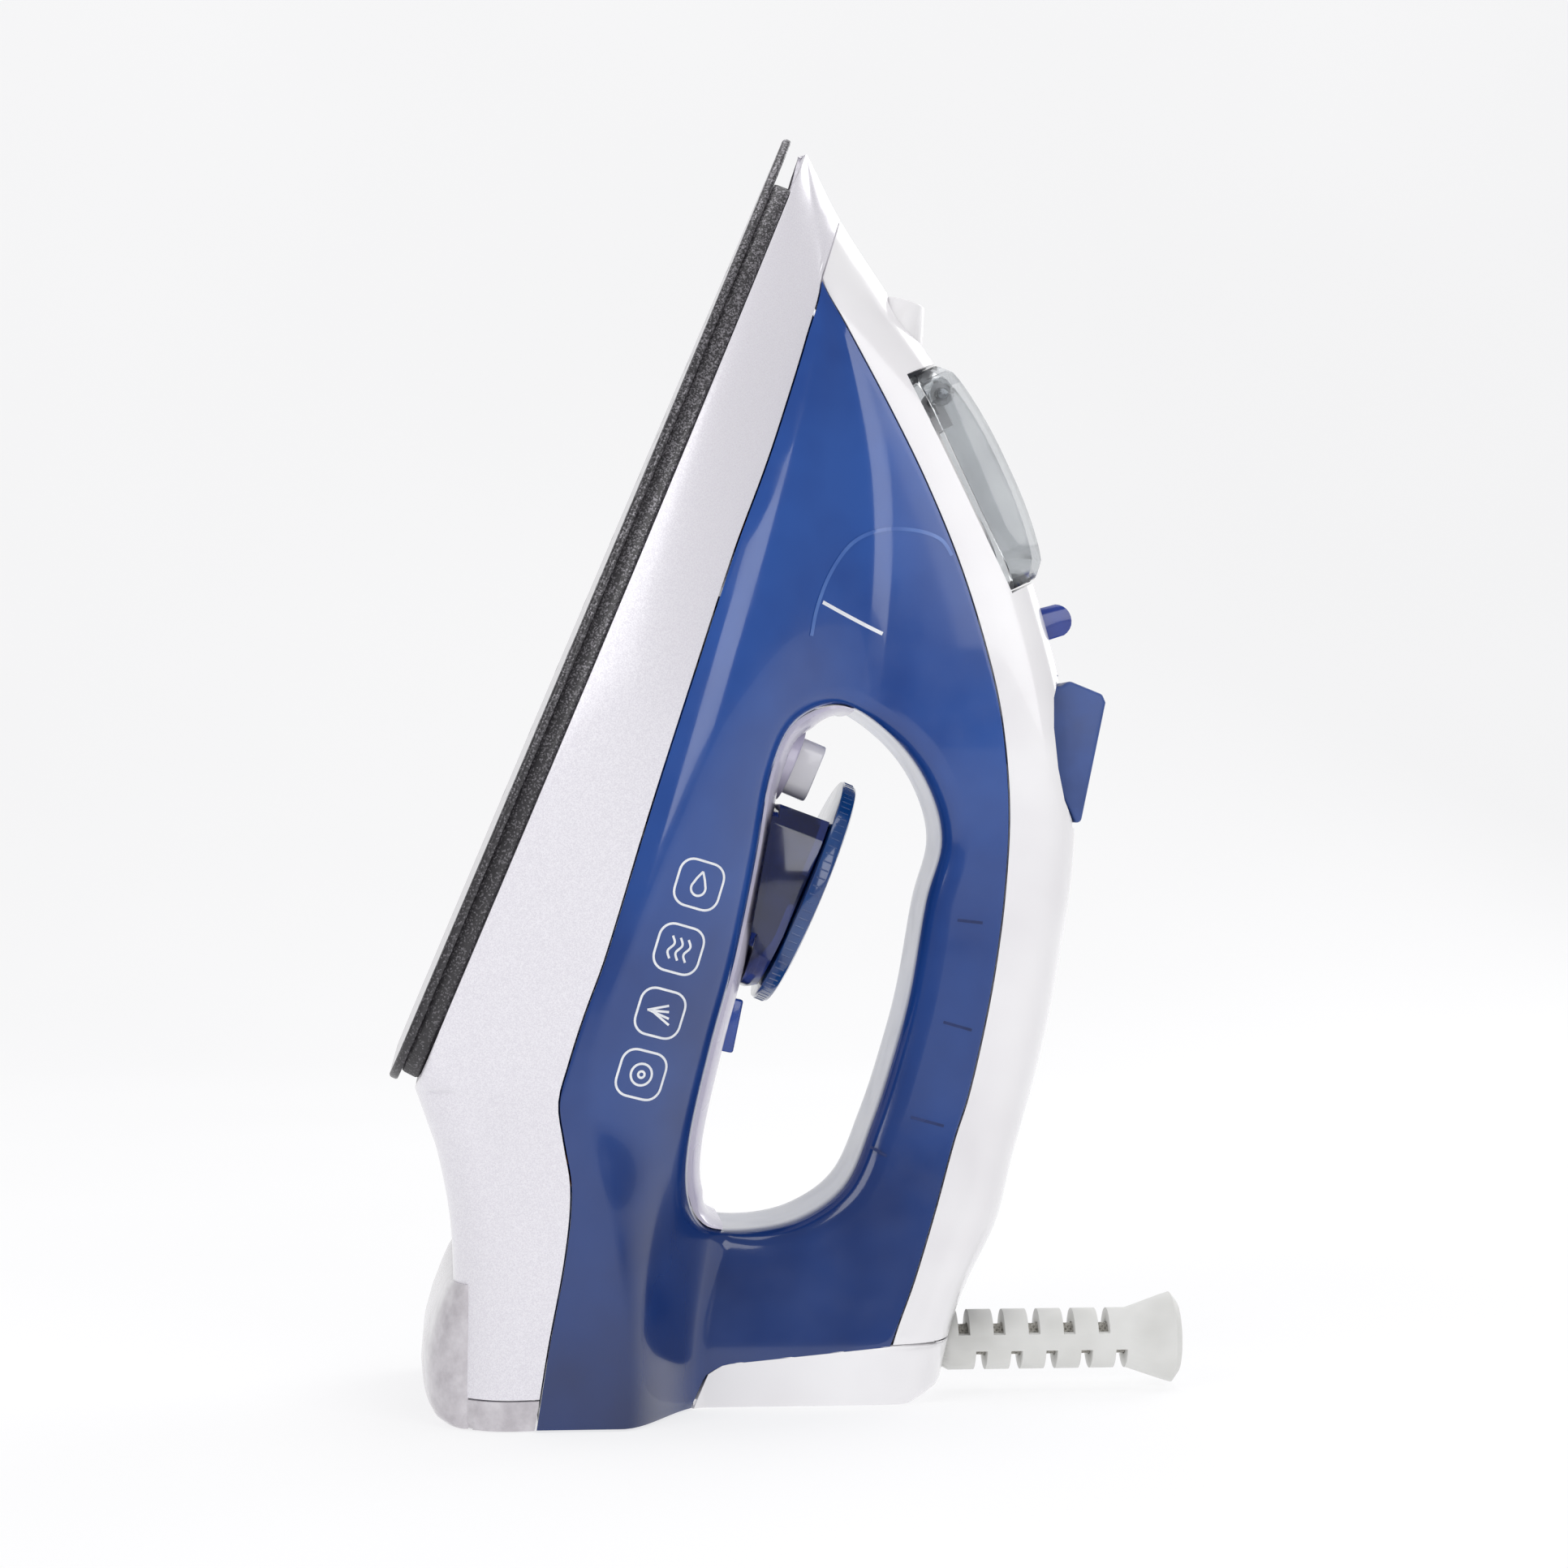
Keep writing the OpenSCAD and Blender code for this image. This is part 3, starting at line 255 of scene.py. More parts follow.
# Height and inset of each step of the plate's rolled rim.
plate_edge = ((0.25, 1.6), (0.25, 0.9), (0.5, 0.4), (0.9, 0.1), (1.4, 0.02), (1.9, 0.1), (PLATE_T, 0.5))
plate = rings_mesh("sole_plate", [sole_ring(v, inset) for v, inset in plate_edge], glitter_coat)
plate.data.materials.append(sole_glaze)
face_normal = Vector((-math.cos(TILT), 0, math.sin(TILT)))
holes = [(178, 0), (168, 9), (156, 15), (142, 22), (128, 41), (112, 44), (96, 45), (80, 45.5), (64, 45),
         (190, 4), (150, 6)]
smooth_over(plate, 50)


def drill(target, cutters):
    """Cuts the closed cutter objects out of a closed piece and makes the result its plain mesh."""
    for cutter in cutters:
        step = target.modifiers.new("cut", "BOOLEAN")
        step.object = cutter
        step.solver = "MANIFOLD"
        step.operation = "DIFFERENCE"
    plain(target)
    for cutter in cutters:
        bpy.data.objects.remove(cutter)
    return target


def plain(target):
    """Applies an object's modifiers, so that it is a plain mesh."""
    done = bpy.data.meshes.new_from_object(target.evaluated_get(bpy.context.evaluated_depsgraph_get()))
    target.modifiers.clear()
    target.data = done
    return target


def rod_between(name, a, b, ra, rb=None, sides=48, finish=None):
    """A round bar or cone from a to b (millimetres), as a closed mesh."""
    a, b = Vector(a), Vector(b)
    turn = (b - a).to_track_quat("Z", "Y").to_matrix()
    rings = [[tuple(end + turn @ Vector((r * math.cos(t), r * math.sin(t), 0)))
              for t in np.linspace(0, 2 * math.pi, sides, endpoint=False)]
             for end, r in ((a, ra), (b, ra if rb is None else rb))]
    return rings_mesh(name, rings, finish or paper)



def sole_pin(u, y, low, high, r, sides=48):
    """A round bar square to the soleplate at u and y, from height low to high, to cut a hole with."""
    (x0, z0), (x1, z1) = lean(u, low), lean(u, high)
    return rod_between("pin", (x0, y, z0), (x1, y, z1), r, sides=sides)


drill(plate, [sole_pin(u, s * y, -1, 5, STEAM_HOLE_R, sides=20)
              for u, y in holes for s in (-1, 1) if y > 0 or s > 0])
for face in plate.data.polygons:
    if face.normal.dot(face_normal) > 0.97 and face.center.dot(face_normal) > -0.9:
        face.material_index = 1
smooth_over(plate, 50)
behaviour = frame["record"]["behaviour"]["bodies"]
body_of_node = {part: body for body, parts in behaviour.items() for part in parts}


def settle(node, *pieces):
    """These pieces stand for the CAD node: they ride on its body and the node is hidden."""
    for made in pieces:
        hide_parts(node)
        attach(made, body_of_node[node])


settle("soleplate", plate)

# ---- Heater casting ----
# Die-cast aluminium under the same dark glittering lacquer. It stops a little behind the plate's nose
# and holds the U-shaped heating tube and the steam chamber.
casting_edge = ((2.3, 3.2), (2.3, 2.0), (2.9, 1.7), (5.4, 1.5), (6.0, 1.8), (RIM, 2.6))
casting = rings_mesh("casting_rim", [sole_ring(v, inset, front=212.0, rear=0.9) for v, inset in casting_edge],
                     glitter_coat)
smooth_over(casting, 50)
settle("heater_casting", casting)

# ---- Skirt ----
# Injection-moulded ABS in pearl white: fine mica in the resin gives it a cool glitter and a soft gloss.
# It wraps the heater from the nose down both sides and round the back, and clips to the tank.
# The whole body follows one form: at each height z the half width y falls from the rim to the crown.
SEAM = 0.4
CROWN = [(0, 52), (3, 57), (8, 58.6), (16.6, 60.7), (25.6, 64.3), (38, 70.6), (52, 74.3), (67, 78.6),
         (82, 82.3), (98.5, 85.3), (112, 87.4), (126, 88.3), (142, 87.3), (158, 84.6), (175, 80),
         (191, 75), (208, 67.7), (227, 57.8), (243, 47.2), (259.6, 36.4), (274.4, 28.9)]
SKIRT = [(0, -31.9), (17, -29.2), (36, -25.7), (50, -24.5), (60, -26), (68, -27), (76, -25), (86, -21.8),
         (98, -17.4), (128, -8.2), (155, 0.6), (184, 10.4), (202, 17.4), (216, 22.3), (231, 27.2),
         (244.5, 31), (259.6, 29.8), (274.4, 28.7)]
COVER = [(0, 43), (12.7, 45.5), (26, 50.4), (41, 55.2), (57, 59.8), (66, 62.8), (82, 66.6), (95, 69),
         (110, 70.9), (128, 71.8), (146, 70.4), (160, 67.6), (181, 61.2), (200, 53.5), (217, 45.3),
         (235, 36), (244.5, 31.2), (259.6, 30.2), (274.4, 28.75)]
SHOULDER = [(0, -14), (20, -14), (45, -18), (70, -22), (98, -14), (150, 2), (200, 18), (244, 31.1),
            (274.4, 28.7)]
WAIST = [(0, 5), (20, 6), (45, 14), (95, 34), (150, 43), (200, 45), (244, 34), (274.4, 28.74)]
REAR = [(0, -49.1), (9, -49.1), (30, -48.9), (43.7, -49.7), (57.3, -52.3), (64, -54.6), (70.8, -57)]
SKIRT_W = [(0, 0.89), (36, 0.88), (98, 0.87), (128, 0.85), (155, 0.8), (184, 0.69), (202, 0.58),
           (216, 0.48), (231, 0.37), (244.5, 0.26), (259.6, 0.15), (274.4, 0.012)]
COVER_W = [(0, 1.26), (12, 1.26), (26, 1.17), (40, 1.09), (60, 1), (100, 0.97), (122, 1), (145, 1.06),
           (180, 1.09), (208, 1.03), (226, 0.92), (243, 0.77), (259.6, 0.44), (274.4, 0.03)]


def hermite(p, q, m, n, s):
    """A cubic from p to q with slopes m and n, read at s from 0 to 1."""
    return (2 * s ** 3 - 3 * s ** 2 + 1) * p + (s ** 3 - 2 * s ** 2 + s) * m + (3 * s ** 2 - 2 * s ** 3) * q \
        + (s ** 3 - s ** 2) * n


def along(points, z):
    """A smooth curve through (z, value) points, read at z."""
    at, value = np.array(points, float).T
    z = np.clip(z, at[0], at[-1])
    i = np.clip(np.searchsorted(at, z, side="right") - 1, 0, len(at) - 2)
    step = np.arange(len(at))
    ahead, behind = np.minimum(step + 1, len(at) - 1), np.maximum(step - 1, 0)
    slope = (value[ahead] - value[behind]) / (at[ahead] - at[behind])
    h = at[i + 1] - at[i]
    return hermite(value[i], value[i + 1], slope[i] * h, slope[i + 1] * h, (z - at[i]) / h)


def ease(t):
    """A soft step from 0 to 1."""
    t = np.clip(t, 0, 1)
    return t * t * (3 - 2 * t)


def rim_u(z):
    """The place along the sole that the body's edge has at z."""
    return (z - HEEL[1] + RIM * math.sin(TILT)) / math.cos(TILT)


def rim_x(z):
    """x of the body's edge over the heater, or of its back below the heater."""
    return np.where(rim_u(z) > 0, HEEL[0] + rim_u(z) * math.sin(TILT) + RIM * math.cos(TILT), along(REAR, z))


def corner_r(z):
    """How far the sole's rear corner draws the outline in at z."""
    u = np.clip(rim_u(z), 0, REAR_R)
    return REAR_R - np.sqrt(REAR_R ** 2 - (REAR_R - u) ** 2)


def half_at(x, z):
    """Half width of the body at x and z."""
    x, z = np.broadcast_arrays(np.asarray(x, float), np.asarray(z, float))
    xa, xb, xc, xd = rim_x(z), along(SKIRT, z), along(COVER, z), along(CROWN, z)
    low = np.where(rim_u(z) > 0, sole_half(rim_u(z)) + corner_r(z) - 0.6, HALF_SOLE * 0.92)
    yb, yc = HALF_SOLE * along(SKIRT_W, z), HALF_GRIP * along(COVER_W, z)
    fall = 1.25 + 2.35 * ease((250 - z) / 50)
    s0, s1 = along(SHOULDER, z), along(WAIST, z)
    skirt_y = low + (yb - low) * np.clip((x - xa) / np.maximum(xb - xa, 0.01), 0, None) ** 1.25
    tank_y = yc + (yb - yc) * (1 - ease((x - s0) / np.maximum(0.1, s1 - s0)))
    s = np.clip((x - xc) / np.maximum(0.05, xd - xc), 0, 1)
    crown_y = yc * (1 - s ** fall) ** (1 / (0.3 + 0.7 * fall))
    y = np.where(x < xb, skirt_y, np.where(x < xc, tank_y, crown_y))
    r, d = corner_r(z), np.maximum(0, x - xa)
    r = np.where(rim_u(z) <= 0, REAR_R, r)
    inside = np.clip(r - d, 0, None)
    return np.maximum(0, y - np.where(d < r, r - np.sqrt(np.maximum(r * r - inside * inside, 0)), 0))


def wall_in(made, wall=2.0, edge=0.35):
    """Gives an open skin its wall on the inner side and rounds the wall's edges."""
    skin = made.modifiers.new("wall", "SOLIDIFY")
    skin.thickness = wall * MM
    skin.offset = -1
    skin.use_rim = True
    plain(made)
    if edge:
        soft = made.modifiers.new("edge", "BEVEL")
        soft.width = edge * MM
        soft.segments = 3
        soft.limit_method = "ANGLE"
        soft.angle_limit = math.radians(50)
        soft.use_clamp_overlap = True
        plain(made)
    return made


def outward(made):
    """Turns an open skin so that its faces point away from an upright line inside the body."""
    middle = [Vector((0.01, 0, f.center.z)) for f in made.data.polygons]
    facing = [(f.center - hub).dot(f.normal) * f.area for f, hub in zip(made.data.polygons, middle)]
    if sum(facing) < 0:
        made.data.flip_normals()
    return made


def level_skin(name, levels, left, right, finish, low_line=None, columns=40, cross=None):
    """The form's surface from x = left(z) to right(z) on both sides at each level. They meet where its
    width is nothing, and across the left end on levels under cross."""
    t = (1 - np.cos(np.linspace(0, math.pi, columns))) / 2
    points, faces = [], []
    across = 12 if cross else 0
    n = 2 * columns + across
    for z0 in levels:
        x = right(z0) + (left(z0) - right(z0)) * t
        z = low_line(x, z0) if low_line else np.full(columns, z0)
        x = np.minimum(x, along(CROWN, z))
        y = half_at(x, z)
        near = np.stack([x, -y, z], 1)
        back = [[x[-1], y[-1] * s, z[-1]] for s in np.linspace(-1, 1, across + 2)[1:-1]] if across else []
        far = np.stack([x, y, z], 1)[::-1]
        points += [*near, *back, *far]
    for row in range(len(levels) - 1):
        for i in range(n - 1):
            if columns - 1 <= i < columns + across and not (cross and levels[row + 1] <= cross):
                continue
            a = row * n + i
            faces.append([a, a + 1, a + n + 1, a + n])
        if not cross or levels[row] > 240:
            a = row * n
            faces.append([a + n - 1, a, a + n, a + 2 * n - 1])
    made = mesh_of(name, points, faces, finish)
    loose = bmesh.new()
    loose.from_mesh(made.data)
    bmesh.ops.delete(loose, geom=[v for v in loose.verts if not v.link_faces], context="VERTS")
    loose.to_mesh(made.data)
    loose.free()
    return outward(made)


def top_edge(z):
    """x of the seam over the nose, from the skirt's seam to the crown."""
    return np.interp(z, [244.5, 259.6], [31.1, 36.4])


def skirt_right(z):
    """x of the skirt's edge: the tank's seam, the cover's seam over the nose, then the crown."""
    above = np.where(z < 259.6, top_edge(z) - SEAM / 2, along(CROWN, z))
    return np.where(z < 244.5, along(SKIRT, z) - SEAM / 2, above)


pearl, tree, skin = finish_of("pearl_mica_abs", Roughness=0.3, Coat_Weight=0.6, Coat_Roughness=0.12)
# Mica flakes about 0.2 mm across, each with its own tilt and a slight change of brightness.
spot = add(tree, "ShaderNodeTexCoord").outputs["Object"]
mica = add(tree, "ShaderNodeTexVoronoi", {"Vector": spot, "Scale": 1 / (0.2 * MM)})
flash = add(tree, "ShaderNodeTexWhiteNoise", {0: mica.outputs["Position"]}).outputs["Value"]
tree.links.new(between(tree, flash, "dfdce4", "efedf3", sharp=(0.1, 0.95)), skin.inputs["Base Color"])
tree.links.new(ranged(tree, flash, 0.05, 0.3, sharp=(0.3, 1.0)), skin.inputs["Metallic"])
dented(tree, skin, flash, 0.015, strength=0.2)

nose = np.linspace(259.6, 273.9, 9)
levels = np.concatenate([np.arange(6.7, 70.5, 2.2), [70.4], np.arange(71.2, 258, 2.0), nose])
skirt = level_skin("skirt_shell", levels, rim_x, skirt_right, pearl, cross=70.6)
smooth_over(wall_in(skirt), 40)
settle("skirt", skirt)

# ---- Top cover ----
# Gloss white ABS that runs down the handle's back from the nose to the cord. It is screwed on from the
# base and cut out for the lid, the lever, the buttons, the nozzle and the cord.
gloss_white = moulded("gloss_white_abs", "e9e7ea", "f4f3f5", size=25, rough=(0.16, 0.24), relief=0.004,
                      Coat_Weight=0.5, Coat_Roughness=0.05)


def base_line(x):
    """Height of the seam over the white base cover."""
    return np.interp(x, [2, 5.3, 9, 45, 90], [0, 7.4, 9.4, 12.7, 15])


def framed(place, tilt):
    """Maps points from a part's own frame, X out of the surface, to the iron's, in millimetres."""
    c, s = math.cos(math.radians(tilt)), math.sin(math.radians(tilt))
    return lambda x, y, z: (place[0] + x * c - z * s, y, place[1] + x * s + z * c)


on_lid = framed((69.1, 203.7), 25.5)
on_lever = framed((81.0, 169.6), 16)
on_button = framed((89.0, 140.0), -11.8)
on_nozzle = framed((51.2, 241.4), -17)


def prism(name, outline, place, half, finish=None):
    """A solid with this (x, z) outline in a part's frame, half millimetres to each side of the middle."""
    return rings_mesh(name, [[place(x, y, z) for x, z in outline] for y in (-half, half)], finish or paper)


def cover_low(x, z0):
    """Levels low on the top cover bend down to the seam over the base cover."""
    return z0 + (base_line(x) + SEAM / 2 - 12.9) * (1 - ease((z0 - 12.9) / 16))


levels = np.concatenate([np.arange(12.9, 257.5, 2.0), [258.2, 259.0]])
cover = level_skin("top_cover_shell", levels, lambda z: np.where(z < 244.5, along(COVER, z) + SEAM / 2,
                   top_edge(z) + SEAM / 2), lambda z: along(CROWN, z), gloss_white, low_line=cover_low)
wall_in(cover, edge=0.3)
CORD_Z = 10.6
button_cut = [(1.6, -15.4), (20, -15.4), (20, 17), (-6.3, 16.8), (-9.2, 15), (-9.6, 11.5), (-8.4, 5),
              (-5.6, -3.5), (-2.6, -10)]
well_cut = [(-16, -9.8), (-7.2, -9.8), (-2.9, -15.4), (2, -15.4), (2, 16.8), (-16, 16.8)]
drill(cover, [
    prism("lid_room", [(-9, -26.5), (25, -26.5), (25, 26.5), (-9, 26.5)], on_lid, 40),
    prism("button_room", button_cut, on_button, 40),
    prism("button_well", well_cut, on_button, 11.7),
    rod_between("lever_room", on_lever(-2.2, 0, 0), on_lever(12, 0, 0), 7.0),
    rod_between("nozzle_room", on_nozzle(0, 0, -9.2), on_nozzle(0, 0, 3), 6.6, 4.1),
    rod_between("cord_room", (45, 0, CORD_Z), (100, 0, CORD_Z), 7.3),
    prism("cord_swing", [(45, 10.6), (100, 10.6), (97, 57.5), (40.7, 16.7)], framed((0, 0), 0), 7.3),
])
smooth_over(cover, 40)
settle("top_cover", cover)

# ---- Rear cover ----
# Gloss white ABS plate under the cord outlet; two screws in its underside hold the handle together.
def rear_left(z):
    """x of the seam between the base cover and the tank at z."""
    return np.interp(z, [0, 7.4, 9.4, 12.7, 15], [2.3, 5.6, 9.3, 45, 90])


levels = np.array([0.06, 0.5, 1.5, 3, 4.5, 6, 7.2, 8.2, 9.0, 9.6, 10.6, 11.6, 12.6, 13.2])
rear = level_skin("rear_cover_shell", levels, lambda z: np.minimum(rear_left(z) + 0.2, along(CROWN, z) - 0.3),
                  lambda z: along(CROWN, z), gloss_white)
wall_in(rear, edge=0.3)


def foot_plate(name, x0, x1, n, steps, finish):
    """A flat plate in the foot of the body from x0 to x1; steps are (height, inset from the wall)."""
    x = np.linspace(x0, x1, n)
    rings = [[(a, s * (float(half_at(a, z)) - inset), z) for s, row in ((-1, x), (1, x[::-1])) for a in row]
             for z, inset in steps]
    return rings_mesh(name, rings, finish)


foot = foot_plate("rear_cover_foot", 2.4, 51, 26, ((0.0, 1.2), (0.8, 0.6), (2.0, 0.6)), gloss_white)
drill(rear, [rod_between("cord_room", (45, 0, CORD_Z), (100, 0, CORD_Z), 7.3)])
drill(foot, [rod_between("screw_room", (x, 0, -1), (x, 0, 3), 4.0) for x in (10, 30)])
smooth_over(rear, 40)
smooth_over(foot, 40)
settle("rear_cover", rear, foot)

# ---- Heel cover ----
# Light grey marbled ABS shoe at the back of the heel. It bulges out under the soleplate to guard it
# and wraps the foot of the skirt; its lower edge is bevelled.
marbled, tree, skin = finish_of("marbled_grey_abs", Roughness=0.26, Coat_Weight=0.5)
veins = grain(tree, 5, detail=6, rough=0.65)
tree.links.new(between(tree, veins, "b9b4ba", "d3cfd4", sharp=(0.35, 0.65)), skin.inputs["Base Color"])
dented(tree, skin, grain(tree, 0.5), 0.01)

BUMPER_HALF = HALF_SOLE * 0.82
band = level_skin("heel_band", np.array([0.06, 0.25, 0.8, 1.5, 3.0, 4.5, 6.0, 6.3]), rim_x,
                  lambda z: along(SKIRT, z) - SEAM / 2, marbled, cross=6.5)
for v in band.data.vertices:
    low = max(0.0, 1 - v.co.z / (1.5 * MM))
    v.co.x += 1.1 * MM * low * (v.co.x < -0.045)
    v.co.y -= math.copysign(1.0 * MM * low, v.co.y)
smooth_over(wall_in(band), 40)


def bulge(z):
    """How far the bumper stands out of the heel's back at z."""
    heights = [0, 0.3, 1.6, 3.4, 5.7, 11, 16, 21.1, 26.4, 29, 30.2]
    return np.interp(z, heights, [0.4, 1.6, 4.3, 5.5, 6.3, 6.8, 6.4, 5.1, 3, 1.5, 0.2])


rings = []
for z in (0.25, 0.5, 1.0, 1.7, 2.6, 3.6, 5, 7, 9, 11, 13.5, 16, 18.5, 21, 23.5, 25.5, 27.3, 28.7, 29.7, 30.2):
    y = np.sin(np.linspace(-math.pi / 2, math.pi / 2, 49)) * BUMPER_HALF
    flat = float(half_at(rim_x(z) + 0.01, z))
    turn_in = REAR_R - np.sqrt(REAR_R ** 2 - np.clip(np.abs(y) - flat, 0, 12) ** 2)
    base = float(rim_x(z)) + turn_in
    out = base - bulge(z) * np.sqrt(np.clip(1 - (np.abs(y) / BUMPER_HALF) ** 4, 0, 1)) - 0.05
    rings.append([(a, b, z) for a, b in zip(out, y)] + [(a + 0.8, b, z) for a, b in zip(base[::-1], y[::-1])])
bumper = smooth_over(rings_mesh("heel_bumper", rings, marbled), 50)
settle("heel_cover", band, bumper)

# ---- Water tank and handle ----
# One translucent blue moulding from the nose to the heel: the tank in front, the grip behind and the hand
# opening between, its rim rounded for the fingers. Water and the parts inside make it lighter and darker,
# and painted shade darkens it towards the heel.
HAND = [(35, 151.5), (46, 145), (54, 134.5), (57.4, 122), (54, 108.5), (50.5, 89), (46.5, 74),
        (42, 60.5), (36, 47), (26, 39.8), (14, 37.5), (5, 39), (1.2, 46), (1.5, 58), (6, 78), (11, 97),
        (15.5, 119), (18.5, 136), (24, 147.5)]


def hand_edge(at):
    """The hand opening's edge at positions counted in its points, as (x, z) rows."""
    p = np.array(HAND, float)
    n = len(p)
    i, s = np.floor(at).astype(int), (at % 1)[:, None]
    a, b, c, d = p[(i - 1) % n], p[i % n], p[(i + 1) % n], p[(i + 2) % n]
    return hermite(b, c, (c - a) / 2, (d - b) / 2, s)


def evenly(path, n):
    """n + 1 points along a polyline, evenly spaced."""
    path = np.asarray(path, float)
    run = np.concatenate([[0], np.cumsum(np.linalg.norm(np.diff(path, axis=0), axis=1))])
    at = np.linspace(0, run[-1], n + 1)
    return np.stack([np.interp(at, run, path[:, 0]), np.interp(at, run, path[:, 1])], 1)


def inward(path):
    """Unit normals of a closed clockwise path that point into it."""
    t = np.roll(path, -1, 0) - np.roll(path, 1, 0)
    t /= np.linalg.norm(t, axis=1)[:, None]
    return np.stack([t[:, 1], -t[:, 0]], 1)


def seam_leg(seam, gap, z0, z1, n):
    """n + 1 even points along a seam of the body from z0 to z1, moved sideways by gap."""
    z = np.linspace(z0, z1, 80)
    return evenly(np.stack([along(seam, z) + gap, z], 1), n)


# The wall's outer edge in eight legs, each with the stretch of the hand opening that faces it.
legs = [
    (seam_leg(COVER, -SEAM / 2, 244.0, 160.0, 40), (0.0, 1.1)),
    (seam_leg(COVER, -SEAM / 2, 160.0, 46.0, 62), (1.1, 7.5)),
    (seam_leg(COVER, -SEAM / 2, 46.0, 12.5, 18), (7.5, 8.6)),
    (evenly([(45, 12.5), (9, 9.2), (5.2, 7.2), (1.8, 0.3)], 26), (8.6, 10.3)),
    (evenly([(1.8, 0.3), (-31.6, 0.3)], 22), (10.3, 11.4)),
    (seam_leg(SKIRT, SEAM / 2, 0.3, 46.0, 24), (11.4, 12.2)),
    (seam_leg(SKIRT, SEAM / 2, 46.0, 150.0, 64), (12.2, 18.0)),
    (seam_leg(SKIRT, SEAM / 2, 150.0, 244.0, 42), (18.0, 19.0)),
]
outline = np.concatenate([path[:-1] for path, _ in legs])
ring = np.concatenate([evenly(hand_edge(np.linspace(a, b, 400)), len(path) - 1)[:-1]
                       for path, (a, b) in legs])
where = np.concatenate([np.linspace(a, b, len(path))[:-1] for path, (a, b) in legs])
rim_r = 2.6 + 2.4 * ease((10.8 - where) / 1.2) * ease((where - 0.2) / 1.5)
normal = -inward(ring)
near_rows, depth = [], (0, 0.25, 0.8, 1.6, 2.7, 4.0, 5.6)
for d in depth:
    near_rows.append(ring + normal * d)
STEPS = 30
for t in np.linspace(0, 1, STEPS + 1)[1:] ** 1.1:
    near_rows.append(near_rows[6] * (1 - t) + outline * t)
rows = np.array(near_rows)
for _ in range(2):
    even = (rows[6:-2] + rows[8:] + np.roll(rows, 1, 1)[7:-1] + np.roll(rows, -1, 1)[7:-1]) / 4
    rows[7:-1] = even
side_rows = []
for i, row in enumerate(rows):
    d = depth[i] if i < len(depth) else 99
    drop = np.where(d < rim_r, rim_r - np.sqrt(np.maximum(rim_r ** 2 - (rim_r - d) ** 2, 0)), 0)
    side_rows.append(np.stack([row[:, 0], half_at(row[:, 0], row[:, 1]) - drop, row[:, 1]], 1))
flip = np.array([1, -1, 1])
skin_rows = [r * flip for r in side_rows[::-1]]
skin_rows += [side_rows[0] * [1, s, 1] for s in np.linspace(-1, 1, 11)[1:-1]]
skin_rows += side_rows
n = len(ring)
tank = mesh_of("tank_and_handle_shell", np.array(skin_rows).reshape(-1, 3), [
    [a * n + i, a * n + (i + 1) % n, (a + 1) * n + (i + 1) % n, (a + 1) * n + i]
    for a in range(len(skin_rows) - 1) for i in range(n)], paper)
top_face = max(tank.data.polygons, key=lambda f: f.center.y)
if top_face.normal.y < 0:
    tank.data.flip_normals()

blue, tree, skin = finish_of("translucent_blue_tank", Coat_Weight=0.45, Coat_Roughness=0.04, IOR=1.49,
                             Transmission_Weight=0.16)
# The tint darkens towards the heel as painted shade, and soft clouds follow what is inside.
spot = add(tree, "ShaderNodeTexCoord").outputs["Object"]
height = add(tree, "ShaderNodeSeparateXYZ", {0: spot}).outputs["Z"]
deep = between(tree, height, "12295f", "1f4896", sharp=(0.0, 0.16))
pale = between(tree, height, "1a3878", "2c5aad", sharp=(0.0, 0.16))
clouds = ranged(tree, grain(tree, 34, detail=3), 0, 1, sharp=(0.35, 0.65))
tone_with_painted_shade = add(tree, "ShaderNodeMix", {0: clouds, 6: deep, 7: pale}, data_type="RGBA").outputs[2]
tree.links.new(tone_with_painted_shade, skin.inputs["Base Color"])
tree.links.new(ranged(tree, grain(tree, 9), 0.1, 0.2), skin.inputs["Roughness"])
dented(tree, skin, grain(tree, 1.0), 0.006)
tank.data.materials[0] = blue
wall_in(tank, edge=0.3)
CLEAN_U, CLEAN_R = 94.6, 8.7
DIAL_U = 69.7
drill(tank, [sole_pin(CLEAN_U, 0, 36, 62, CLEAN_R)])
drill(tank, [sole_pin(DIAL_U, 0, 36, 62, 5.0)])
smooth_over(tank, 40)
foot = foot_plate("tank_foot", -31.4, 1.8, 20, ((0.0, 2.6), (0.6, 2.2), (2.2, 2.2)), blue)
smooth_over(foot, 40)
settle("water_tank", tank, foot)

# ---- Saddle cover ----
# A lilac-white liner snapped over the tank's side of the hand opening, crowned across its width.
lilac = moulded("lilac_white_abs", "c9c3d8", "dbd6e6", size=18, rough=(0.2, 0.32), relief=0.006,
                Coat_Weight=0.4)
SADDLE_RISE = 4.0
path = evenly(hand_edge(np.linspace(10.5, 19.25, 600)), 110)
step = np.gradient(path, axis=0)
step /= np.linalg.norm(step, axis=1)[:, None]
into = np.stack([step[:, 1], -step[:, 0]], 1)
rings = []
for (x, z), (nx, nz), share in zip(path, into, np.linspace(0, 1, len(path))):
    half = min(21.0, float(half_at(x, z)) - 1.4)
    end = min(1.0, 0.35 + 8 * min(share, 1 - share))
    across = np.sin(np.linspace(-math.pi / 2, math.pi / 2, 21))
    rise = (SADDLE_RISE - 2.6 * np.abs(across) ** 4) * end
    top = [(x + nx * r, half * a, z + nz * r) for a, r in zip(across, rise)]
    bottom = [(x + nx * 0.25, half * a, z + nz * 0.25) for a in across[::-1]]
    rings.append(top + bottom)
saddle = rings_mesh("saddle_liner", rings, lilac)
drill(saddle, [sole_pin(CLEAN_U, 0, 36, 62, CLEAN_R)])
drill(saddle, [sole_pin(DIAL_U, 0, 36, 66, 3.5)])
smooth_over(saddle, 45)
settle("saddle_cover", saddle)
